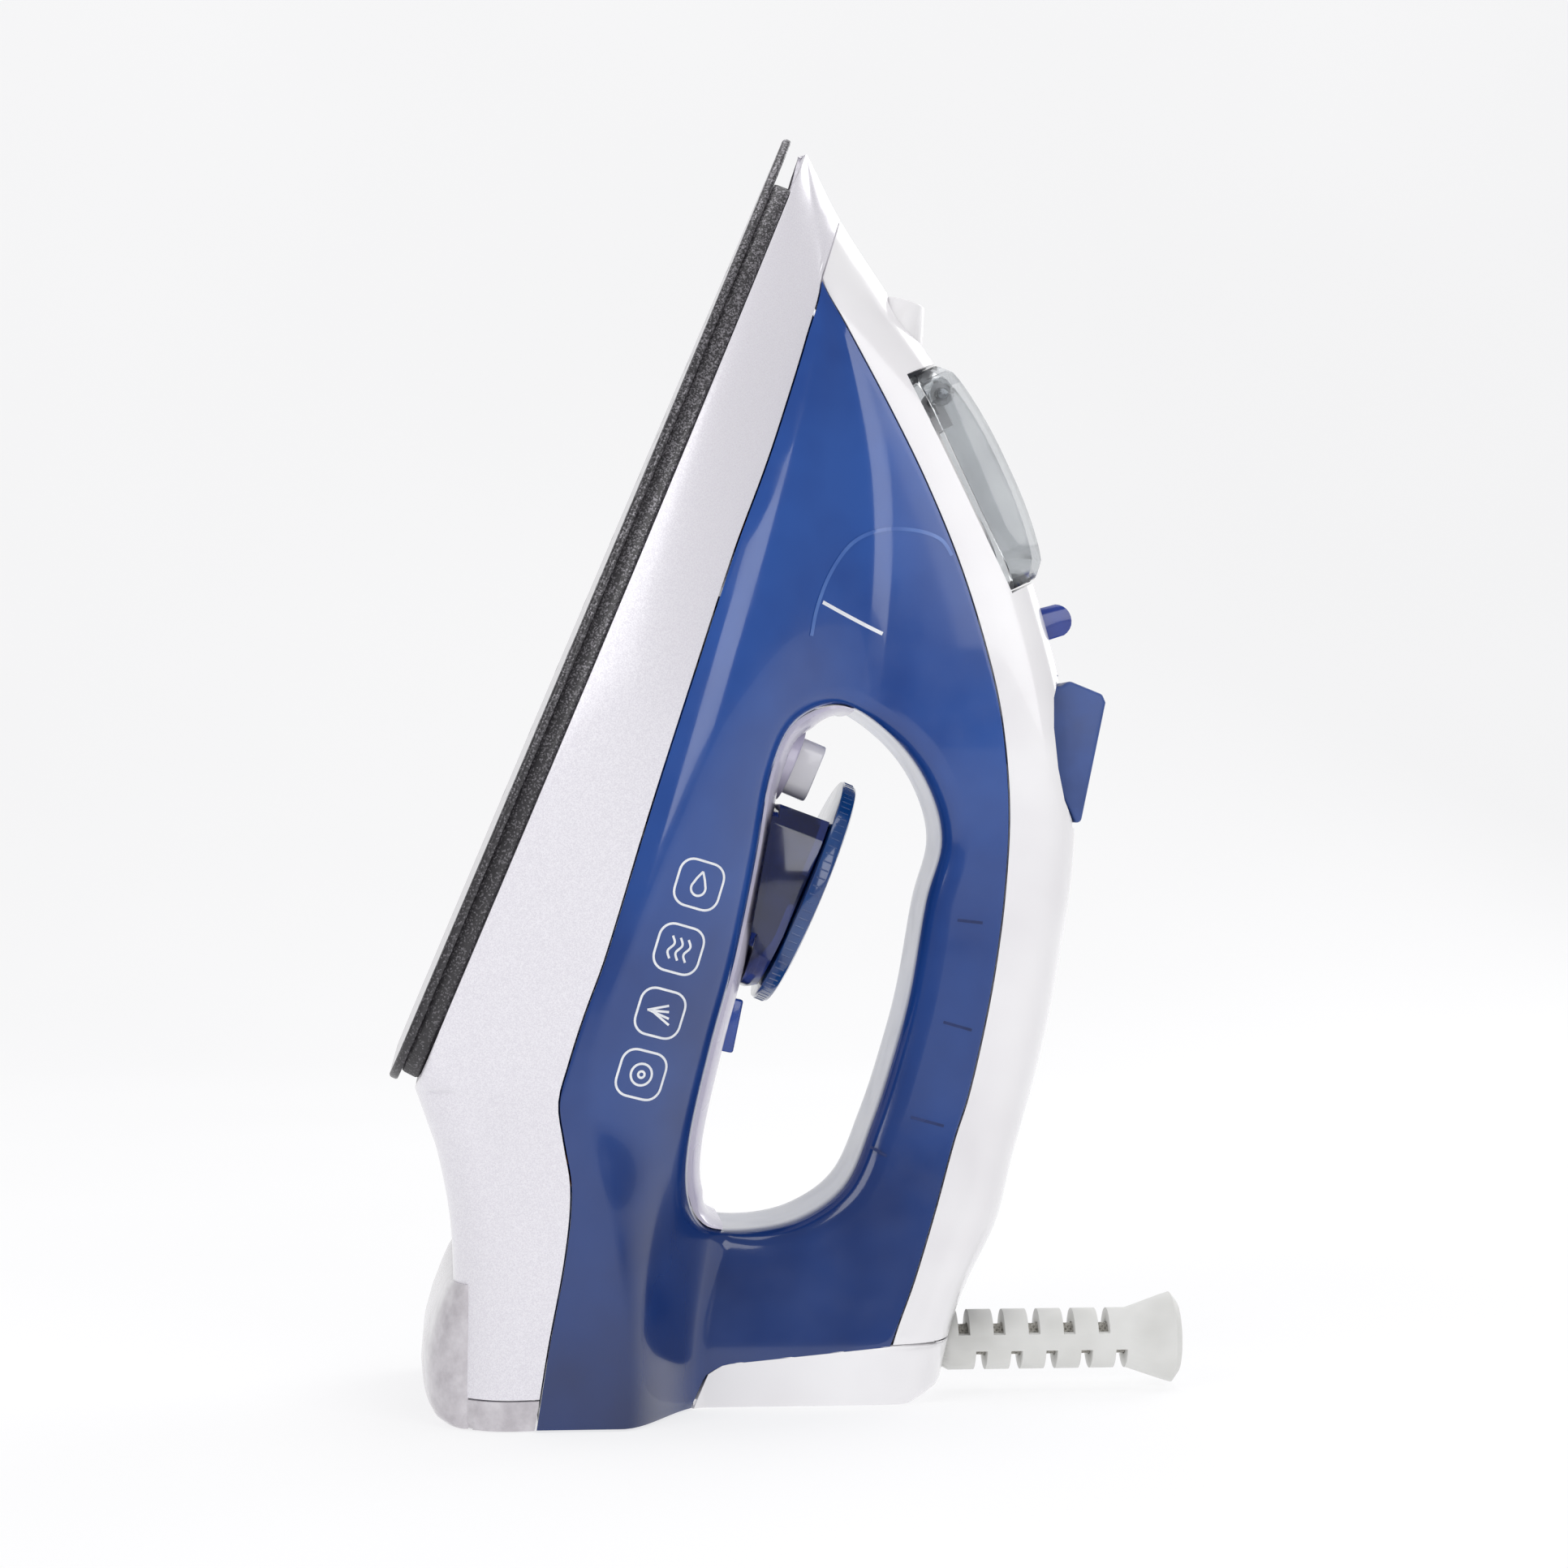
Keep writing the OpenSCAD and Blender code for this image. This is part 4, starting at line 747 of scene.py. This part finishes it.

# ---- Prints and marks on the tank ----
# Pad-printed in white ink on the blue wall: four rounded boxes with plain signs for the steam settings,
# and a filling mark. A raised hump in the wall shows where the tank's ceiling is; its lighter blue is a
# painted highlight.
ink_white = moulded("white_pad_ink", "e2e6ee", "f2f4f8", size=3, rough=(0.45, 0.6), relief=0.004)
ink_dark = moulded("dark_pad_ink", "14161c", "20232b", size=3, rough=(0.45, 0.6), relief=0.004)


def on_tank(side):
    """Places (x, z, height) on the tank's wall, on the near side with -1 or on the far side with 1."""
    return lambda a, b, h: (a, side * (float(half_at(a, b)) + h), b)


def ribbon(name, path, width, place, finish, closed=False, thick=0.12):
    """A printed or raised line of this width along a path of (a, b) points on a surface."""
    path = np.asarray(path, float)
    ahead = np.roll(path, -1, 0) if closed else np.concatenate([path[1:], path[-1:] * 2 - path[-2:-1]])
    behind = np.roll(path, 1, 0) if closed else np.concatenate([path[:1] * 2 - path[1:2], path[:-1]])
    t = ahead - behind
    t /= np.linalg.norm(t, axis=1)[:, None]
    off = np.stack([t[:, 1], -t[:, 0]], 1) * width / 2
    rings = [[place(*(p + o), thick / 2), place(*(p - o), thick / 2), place(*(p - o), -thick / 2),
              place(*(p + o), -thick / 2)] for p, o in zip(path, off)]
    if not closed:
        return rings_mesh(name, rings, finish)
    n = len(rings)
    faces = [[4 * a + i, 4 * a + (i + 1) % 4, 4 * ((a + 1) % n) + (i + 1) % 4, 4 * ((a + 1) % n) + i]
             for a in range(n) for i in range(4)]
    return mesh_of(name, np.array(rings).reshape(-1, 3), faces, finish)


def turned(points, centre, tilt):
    """Points leaned to the right by tilt degrees and moved to a centre."""
    c, s = math.cos(math.radians(tilt)), math.sin(math.radians(tilt))
    return [(centre[0] + a * c + b * s, centre[1] - a * s + b * c) for a, b in points]


def arc(cx, cy, r, start, end, n):
    """n points on a circle of radius r round (cx, cy), from start to end degrees."""
    turns = np.radians(np.linspace(start, end, n))
    return [(cx + r * math.cos(t), cy + r * math.sin(t)) for t in turns]


def joined(name, parts):
    """Several small meshes of one finish as one object."""
    bpy.ops.object.select_all(action="DESELECT")
    for part in parts:
        part.select_set(True)
    bpy.context.view_layer.objects.active = parts[0]
    bpy.ops.object.join()
    parts[0].name = name
    return parts[0]


corners = ((2, 2, 90), (2, -2, 0), (-2, -2, -90), (-2, 2, 180))
box_sign = [p for cx, cy, start in corners for p in arc(cx, cy, 3, start, start - 90, 8)]
drop_sign = arc(0, -0.8, 1.6, 30, -210, 20) + [(-0.9, 1.2), (0, 2.8), (0.9, 1.2)]
waves = [[(x + 0.5 * math.sin(b * 1.6), b) for b in np.linspace(-2.4, 2.4, 14)] for x in (-1.8, 0, 1.8)]
sprays = [[(-2.4, 0), (2.4, s * 2.2)] for s in (-1, -0.35, 0.35, 1)]
fan = [[(a * 0.9 + 0.4 * (1 - k), b * 0.9) for a, b in path] for k, path in enumerate(sprays)]
SIGNS = [((2.5, 113.2), [(drop_sign, True)]), ((-1.8, 99.7), [(w, False) for w in waves]),
         ((-5.7, 86.3), [(path, False) for path in fan]),
         ((-9.7, 73.5), [(arc(0, 0, 2.3, 0, 345, 24), True), (arc(0, 0, 0.7, 0, 330, 12), True)])]
prints = []
for side in (-1, 1):
    for centre, strokes in SIGNS:
        for path, closed in [(box_sign, True)] + strokes:
            path = turned(path, centre, 17)
            path = evenly(path + path[:1], 64)[:-1] if closed else evenly(path, 16)
            prints.append(ribbon("print", path, 0.5, on_tank(side), ink_white, closed, thick=0.2))
    fill_line = evenly([(30, 173.3), (43.8, 166.9)], 24)
    prints.append(ribbon("mark", fill_line, 0.8, on_tank(side), ink_white, thick=0.2))
settle("water_tank", joined("white_prints", prints))

# The raised hump line is a lighter blue than the tank: a painted highlight along its ridge.
hump_highlight_blue, tree, skin = finish_of("raised_wall_painted_highlight", Coat_Weight=0.7, IOR=1.49, Transmission_Weight=0.2)
tree.links.new(between(tree, grain(tree, 8), "3f69bb", "5b84cf"), skin.inputs["Base Color"])
tree.links.new(ranged(tree, grain(tree, 5), 0.12, 0.22), skin.inputs["Roughness"])
HUMP = [(59, 184), (56.5, 187.5), (51, 189.4), (43.6, 189.4), (37, 186.4), (32, 180), (28.8, 172.5),
        (27.4, 166)]


def softened(path, n):
    """A smooth open line through a few points."""
    p = np.array([path[0], *path, path[-1]], float)
    at = np.linspace(1, len(path) - 0.0001, n)
    i, s = np.floor(at).astype(int), (at % 1)[:, None]
    i = np.minimum(i, len(p) - 3)
    return hermite(p[i], p[i + 1], (p[i + 1] - p[i - 1]) / 2, (p[i + 2] - p[i]) / 2, s)


settle("water_tank", joined("raised_lines", [
    ribbon("hump", softened(HUMP, 50), 0.8, on_tank(side), hump_highlight_blue, thick=0.3) for side in (-1, 1)]))
# Stiffening ribs inside the grip show through its wall as short dark lines.
rib_blue = moulded("rib_shadow_blue", "0f2354", "16306c", size=5, rough=(0.2, 0.3), relief=0.004)
RIBS = [((57.4, 82.4), (63.6, 80.6)), ((50.2, 61.8), (57.4, 59.8)), ((41.4, 55.4), (44.8, 53.4)),
        ((60.5, 104.6), (66, 104))]
settle("water_tank", joined("rib_lines", [
    ribbon("rib", evenly(ends, 10), 0.6, on_tank(side), rib_blue, thick=0.16)
    for side in (-1, 1) for ends in RIBS]))

# ---- Spray nozzle ----
# Small white acetal jet pressed into the nose; its hose from the spray pump ends behind it.
acetal = moulded("white_acetal", "e6e4e6", "f0eff1", size=8, rough=(0.3, 0.42), relief=0.01)


def remade(node, name, finish, edge, segments=3):
    """A copy of a CAD node with its triangles merged, its edges rounded and a new finish."""
    mesh = frame["nodes"][node].data.copy()
    work = bmesh.new()
    work.from_mesh(mesh)
    bmesh.ops.remove_doubles(work, verts=work.verts, dist=0.000002)
    bmesh.ops.dissolve_limit(work, angle_limit=math.radians(1.5), verts=work.verts, edges=work.edges)
    work.to_mesh(mesh)
    work.free()
    made = bpy.data.objects.new(name, mesh)
    scene.collection.objects.link(made)
    soft = made.modifiers.new("edge", "BEVEL")
    soft.width = edge * MM
    soft.segments = segments
    soft.limit_method = "ANGLE"
    soft.angle_limit = math.radians(38)
    plain(made)
    made.data.materials.clear()
    made.data.materials.append(finish)
    for face in made.data.polygons:
        face.material_index = 0
    settle(node, smooth_over(made, 32))
    return made


remade("spray_nozzle", "spray_jet", acetal, edge=0.5)

# ---- Filler lid, tray and hinge pin ----
# The lid is a crowned lens of smoke-grey polycarbonate that turns on a steel pin; under it a white tray
# with a round neck takes the water.
smoke, tree, skin = finish_of("smoked_polycarbonate", IOR=1.5, Transmission_Weight=0.95, Coat_Weight=0.3)
tree.links.new(between(tree, grain(tree, 15), "cdd0d3", "dcdfe1"), skin.inputs["Base Color"])
tree.links.new(ranged(tree, grain(tree, 4), 0.05, 0.12), skin.inputs["Roughness"])
remade("filler_lid", "filler_lid_lens", smoke, edge=0.6)
remade("filler_tray", "filler_tray_and_neck", acetal, edge=0.3)

plated, tree, skin = finish_of("zinc_plated_steel", Metallic=1.0)
streaks = grain(tree, 0.8, detail=5)
tree.links.new(between(tree, streaks, "8f9196", "b9bbc0"), skin.inputs["Base Color"])
tree.links.new(ranged(tree, streaks, 0.24, 0.4), skin.inputs["Roughness"])
remade("lid_pin", "lid_hinge_pin", plated, edge=0.2)

# ---- Steam lever ----
# A knob of deep blue gloss ABS on a white spindle: a round foot with a D-shaped thumb grip. Turning it
# lifts the valve rod over the steam chamber.
deep_blue = moulded("deep_blue_abs", "1b2f80", "24409a", size=8, rough=(0.18, 0.3), relief=0.006,
                    Coat_Weight=0.5)
remade("steam_lever", "steam_knob", deep_blue, edge=0.5)
remade("lever_shaft", "steam_knob_spindle", acetal, edge=0.3)
marks = [ribbon("mark", [(a, 10.2) for a in np.linspace(-1.6, 1.6, 5)], 0.5,
                lambda a, b, h: on_lever(0.55 + h, a, b), ink_dark, thick=0.2)]
settle("top_cover", joined("steam_scale_mark", marks))

# ---- Spray and steam buttons ----
# Two satin blue keys side by side in the back of the grip. Each carries a white plunger that runs in its
# pump barrel against a steel spring.
satin_blue = moulded("satin_blue_abs", "2d4680", "3a5596", size=9, rough=(0.36, 0.5), relief=0.02)
remade("spray_button", "spray_key_cap", satin_blue, edge=0.9, segments=4)
remade("steam_button", "steam_key_cap", satin_blue, edge=0.9, segments=4)
fan = [[(0, 2.2), (t, -2.2)] for t in (-1.8, 0, 1.8)]
plume = [[(x + 0.4 * math.sin(b * 2), b) for b in np.linspace(-2, 2, 10)] for x in (-1.6, 0, 1.6)]
for node, y0, strokes in (("spray_button", -5.9, fan), ("steam_button", 5.9, plume)):
    lines = [ribbon("sign", evenly(path, 8), 0.45, lambda a, b, h, y0=y0: on_button(2.67 + h, a + y0, b + 3),
                    ink_dark) for path in strokes]
    settle(node, joined(node + "_sign", lines))
remade("pump_barrels", "pump_barrel_pair", acetal, edge=0.3)
remade("spray_plunger", "spray_pump_plunger", acetal, edge=0.2)
remade("steam_plunger", "steam_pump_plunger", acetal, edge=0.2)

# ---- Thermostat dial ----
# A blue gloss cap that stands edge-on over the tank, ribbed round its rim for the fingers, on a steel
# shaft that runs down to the thermostat. A smoke-blue shroud closes the gap under it.
DIAL_V, DIAL_R = 67.5, 25.85


def on_dial(v, y, u):
    """Places in the dial's frame: v along its axis from its underside, y and u across it."""
    x, z = lean(DIAL_U + u, DIAL_V + v)
    return (x, y, z)


def lathe(name, profile, place, finish, steps=96):
    """A turned piece from (radius, height) points."""
    turns = np.linspace(0, 2 * math.pi, steps, endpoint=False)
    rings = [[place(h, r * math.cos(t), r * math.sin(t)) for t in turns] for r, h in profile]
    return rings_mesh(name, rings, finish)


def nodes_tree(name, sizes):
    """An empty geometry tree with named size inputs; returns it, its input node and its output socket."""
    tree = bpy.data.node_groups.new(name, "GeometryNodeTree")
    for label, kind in sizes.items():
        tree.interface.new_socket(name=label, in_out="INPUT", socket_type=kind)
    tree.interface.new_socket(name="Geometry", in_out="OUTPUT", socket_type="NodeSocketGeometry")
    return tree, add(tree, "NodeGroupInput"), add(tree, "NodeGroupOutput")


def grown(name, tree, values, to_place):
    """The tree's result with these sizes as a plain mesh, each point moved by to_place (millimetres)."""
    made = bpy.data.objects.new(name, bpy.data.meshes.new(name))
    scene.collection.objects.link(made)
    step = made.modifiers.new("grow", "NODES")
    step.node_group = tree
    for item in tree.interface.items_tree:
        if item.in_out == "INPUT":
            step[item.identifier] = values[item.name]
    plain(made)
    for v in made.data.vertices:
        v.co = Vector(to_place(*(v.co / MM))) * MM
    return smooth_over(made, 40)


dial_blue, tree, skin = finish_of("dial_blue_gloss_abs", Coat_Weight=0.8, Coat_Roughness=0.05)
tree.links.new(between(tree, grain(tree, 10), "0a3672", "124a88"), skin.inputs["Base Color"])
tree.links.new(ranged(tree, grain(tree, 4), 0.16, 0.26), skin.inputs["Roughness"])
dented(tree, skin, grain(tree, 0.7), 0.005)
cap_edge = [(0.3, 0.05), (DIAL_R - 0.65, 0.05), (DIAL_R - 0.15, 0.2), (DIAL_R, 0.6), (DIAL_R, 2.8),
            (DIAL_R - 0.25, 3.3), (DIAL_R - 1.05, 3.65), (22.6, 3.8), (21.8, 3.7), (21.2, 3.4), (20.6, 3.7),
            (12, 3.95), (0.3, 4.0)]
cap = lathe("dial_cap_disc", cap_edge, on_dial, dial_blue)
smooth_over(cap, 35)

tree, given, result = nodes_tree("ribs_round_a_rim", {
    "Count": "NodeSocketInt", "Rim Radius": "NodeSocketFloat", "Rib Radius": "NodeSocketFloat",
    "Rib Length": "NodeSocketFloat"})
circle = add(tree, "GeometryNodeMeshCircle", {
    "Vertices": given.outputs["Count"], "Radius": given.outputs["Rim Radius"]})
rib = add(tree, "GeometryNodeMeshCylinder", {
    "Vertices": 8, "Radius": given.outputs["Rib Radius"], "Depth": given.outputs["Rib Length"]})
spread = add(tree, "GeometryNodeInstanceOnPoints", {"Points": circle.outputs[0], "Instance": rib.outputs[0]})
real = add(tree, "GeometryNodeRealizeInstances", {0: spread.outputs[0]})
painted = add(tree, "GeometryNodeSetMaterial", {"Geometry": real.outputs[0], "Material": dial_blue})
tree.links.new(painted.outputs[0], result.inputs[0])
rib_sizes = {"Count": 84, "Rim Radius": (DIAL_R - 0.13) * MM, "Rib Radius": 0.22 * MM, "Rib Length": 2.0 * MM}
grips = grown("dial_rim_ribs", tree, rib_sizes, lambda a, b, c: on_dial(1.7 + c, a, b))
settle("dial_cap", cap, grips)
dots = []
for k, t in ((1, 40), (2, 0), (3, -40)):
    for j in range(k):
        a = math.radians(t + (j - (k - 1) / 2) * 6)
        y, u = 17 * math.sin(a), 17 * math.cos(a)
        dots.append(lathe("dot", [(0.02, 3.7), (0.62, 3.7), (0.62, 3.92), (0.02, 3.94)],
                          lambda v, p, q, y=y, u=u: on_dial(v, p + y, q + u), ink_white, steps=16))
settle("dial_cap", joined("dial_heat_dots", dots))
remade("dial_shaft", "dial_steel_shaft", plated, edge=0.2)

smoke_blue, tree, skin = finish_of("smoked_blue_polycarbonate", IOR=1.585, Transmission_Weight=0.75,
                                   Coat_Weight=0.4)
tree.links.new(between(tree, grain(tree, 9), "1b2a66", "2a3f8c"), skin.inputs["Base Color"])
tree.links.new(ranged(tree, grain(tree, 4), 0.08, 0.16), skin.inputs["Roughness"])
remade("dial_shroud", "dial_wedge_shroud", smoke_blue, edge=0.35)

# ---- Self-clean button and pilot lens ----
# A white block of a key in a lilac collar, and the blue window of the heating lamp below the dial.
remade("clean_button", "self_clean_key", gloss_white, edge=0.6)
remade("clean_collar", "self_clean_collar", lilac, edge=0.5)
lens_blue, tree, skin = finish_of("clear_blue_acrylic", IOR=1.49, Transmission_Weight=0.55, Coat_Weight=0.5)
tree.links.new(between(tree, grain(tree, 4), "22469c", "325bbb"), skin.inputs["Base Color"])
tree.links.new(ranged(tree, grain(tree, 2), 0.08, 0.18), skin.inputs["Roughness"])
remade("pilot_lens", "pilot_window", lens_blue, edge=0.6)

# ---- Cord guard, swivel and cord ----
# Pale grey soft PVC sleeve, slotted on both sides so that it bends, held in a white drum that tilts in the
# heel. The braided cotton cord shows through the slots.
soft_pvc = moulded("pale_grey_soft_pvc", "d2d2cf", "e2e2e0", size=12, rough=(0.5, 0.65), relief=0.03)
remade("cord_guard", "slotted_cord_guard", soft_pvc, edge=0.35)
remade("swivel_drum", "cord_swivel_drum", gloss_white, edge=0.4)
remade("drum_bearing", "swivel_cheek_pair", acetal, edge=0.3)

cotton, tree, skin = finish_of("braided_cotton", Roughness=0.9, Sheen_Weight=0.3)
tree.links.new(between(tree, grain(tree, 1.5, detail=4), "8e8b84", "c9c6bf"), skin.inputs["Base Color"])
dented(tree, skin, grain(tree, 0.3, detail=3), 0.05)
tree, given, result = nodes_tree("braid_strands", {
    "Strands": "NodeSocketInt", "Cord Radius": "NodeSocketFloat", "Strand Radius": "NodeSocketFloat",
    "Turns": "NodeSocketFloat", "Length": "NodeSocketFloat"})
thread = add(tree, "GeometryNodeCurvePrimitiveCircle", {
    "Resolution": 6, "Radius": given.outputs["Strand Radius"]})
points = add(tree, "GeometryNodeMeshLine", {"Count": given.outputs["Strands"], "Offset": (0, 0, 0)})
order = add(tree, "GeometryNodeInputIndex")
share = add(tree, "ShaderNodeMath", {0: order.outputs[0], 1: given.outputs["Strands"]}, operation="DIVIDE")
angle = add(tree, "ShaderNodeMath", {0: share.outputs[0], 1: 2 * math.pi}, operation="MULTIPLY")
turn_by = add(tree, "ShaderNodeCombineXYZ", {"Z": angle.outputs[0]})
both = add(tree, "GeometryNodeJoinGeometry")
for reverse in (False, True):
    helix = add(tree, "GeometryNodeCurveSpiral", {
        "Resolution": 24, "Rotations": given.outputs["Turns"], "Start Radius": given.outputs["Cord Radius"],
        "End Radius": given.outputs["Cord Radius"], "Height": given.outputs["Length"], "Reverse": reverse})
    strand = add(tree, "GeometryNodeCurveToMesh", {
        "Curve": helix.outputs[0], "Profile Curve": thread.outputs[0], "Fill Caps": True})
    spread = add(tree, "GeometryNodeInstanceOnPoints", {
        "Points": points.outputs[0], "Instance": strand.outputs[0], "Rotation": turn_by.outputs[0]})
    tree.links.new(spread.outputs[0], both.inputs[0])
real = add(tree, "GeometryNodeRealizeInstances", {0: both.outputs[0]})
painted = add(tree, "GeometryNodeSetMaterial", {"Geometry": real.outputs[0], "Material": cotton})
tree.links.new(painted.outputs[0], result.inputs[0])
low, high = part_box("cord_stub")
start, end = low[0] / MM, high[0] / MM
braid_sizes = {"Strands": 12, "Cord Radius": 3.05 * MM, "Strand Radius": 0.4 * MM, "Turns": 4.5,
               "Length": (end - start - 1) * MM}
braid = grown("cord_braid", tree, braid_sizes, lambda a, b, c: (start + 0.5 + c, a, CORD_Z + b))
core = rod_between("cord_core", (start, 0, CORD_Z), (end, 0, CORD_Z), 2.85, finish=cotton)
settle("cord_stub", braid, smooth_over(core, 40))

# ---- Fasteners and inner parts ----
# What stands behind the covers: the heating tube, the steam chamber's gasket and lid, the valve, the
# hoses, the thermostat and the mains wiring.
remade("rear_screws", "base_screw_pair", plated, edge=0.3)
silicone = moulded("orange_silicone", "c2541f", "d0642c", size=6, rough=(0.5, 0.65))
hose_rubber = moulded("milky_silicone_hose", "dcd8cc", "e8e4da", size=5, rough=(0.4, 0.55))
steatite = moulded("steatite_ceramic", "d8cfb8", "e6dfcc", size=4, rough=(0.5, 0.7))
woven_glass = moulded("woven_glass_sleeve", "8a4f30", "a5643c", size=1.0, rough=(0.7, 0.85))
blackened, tree, skin = finish_of("oxidised_steel_tube", Metallic=1.0)
tree.links.new(between(tree, grain(tree, 3, detail=4), "3c3a3a", "5a5654"), skin.inputs["Base Color"])
tree.links.new(ranged(tree, grain(tree, 2), 0.4, 0.6), skin.inputs["Roughness"])
for finish, nodes in (
    (silicone, ("chamber_seal", "rod_seal")),
    (hose_rubber, ("spray_tube", "steam_tube")),
    (steatite, ("thermostat", "thermal_fuse", "terminal_block")),
    (woven_glass, ("supply_wires",)),
    (blackened, ("heating_element",)),
    (plated, ("chamber_cover", "chamber_screws", "steam_rod", "clean_rod", "clamp_screws", "button_springs")),
    (acetal, ("cord_clamp",)),
    (blue, ("tank_floor",)),
    (lens_blue, ("pilot_lamp",)),
):
    for node in nodes:
        for place in frame["nodes"][node].material_slots:
            place.material = finish
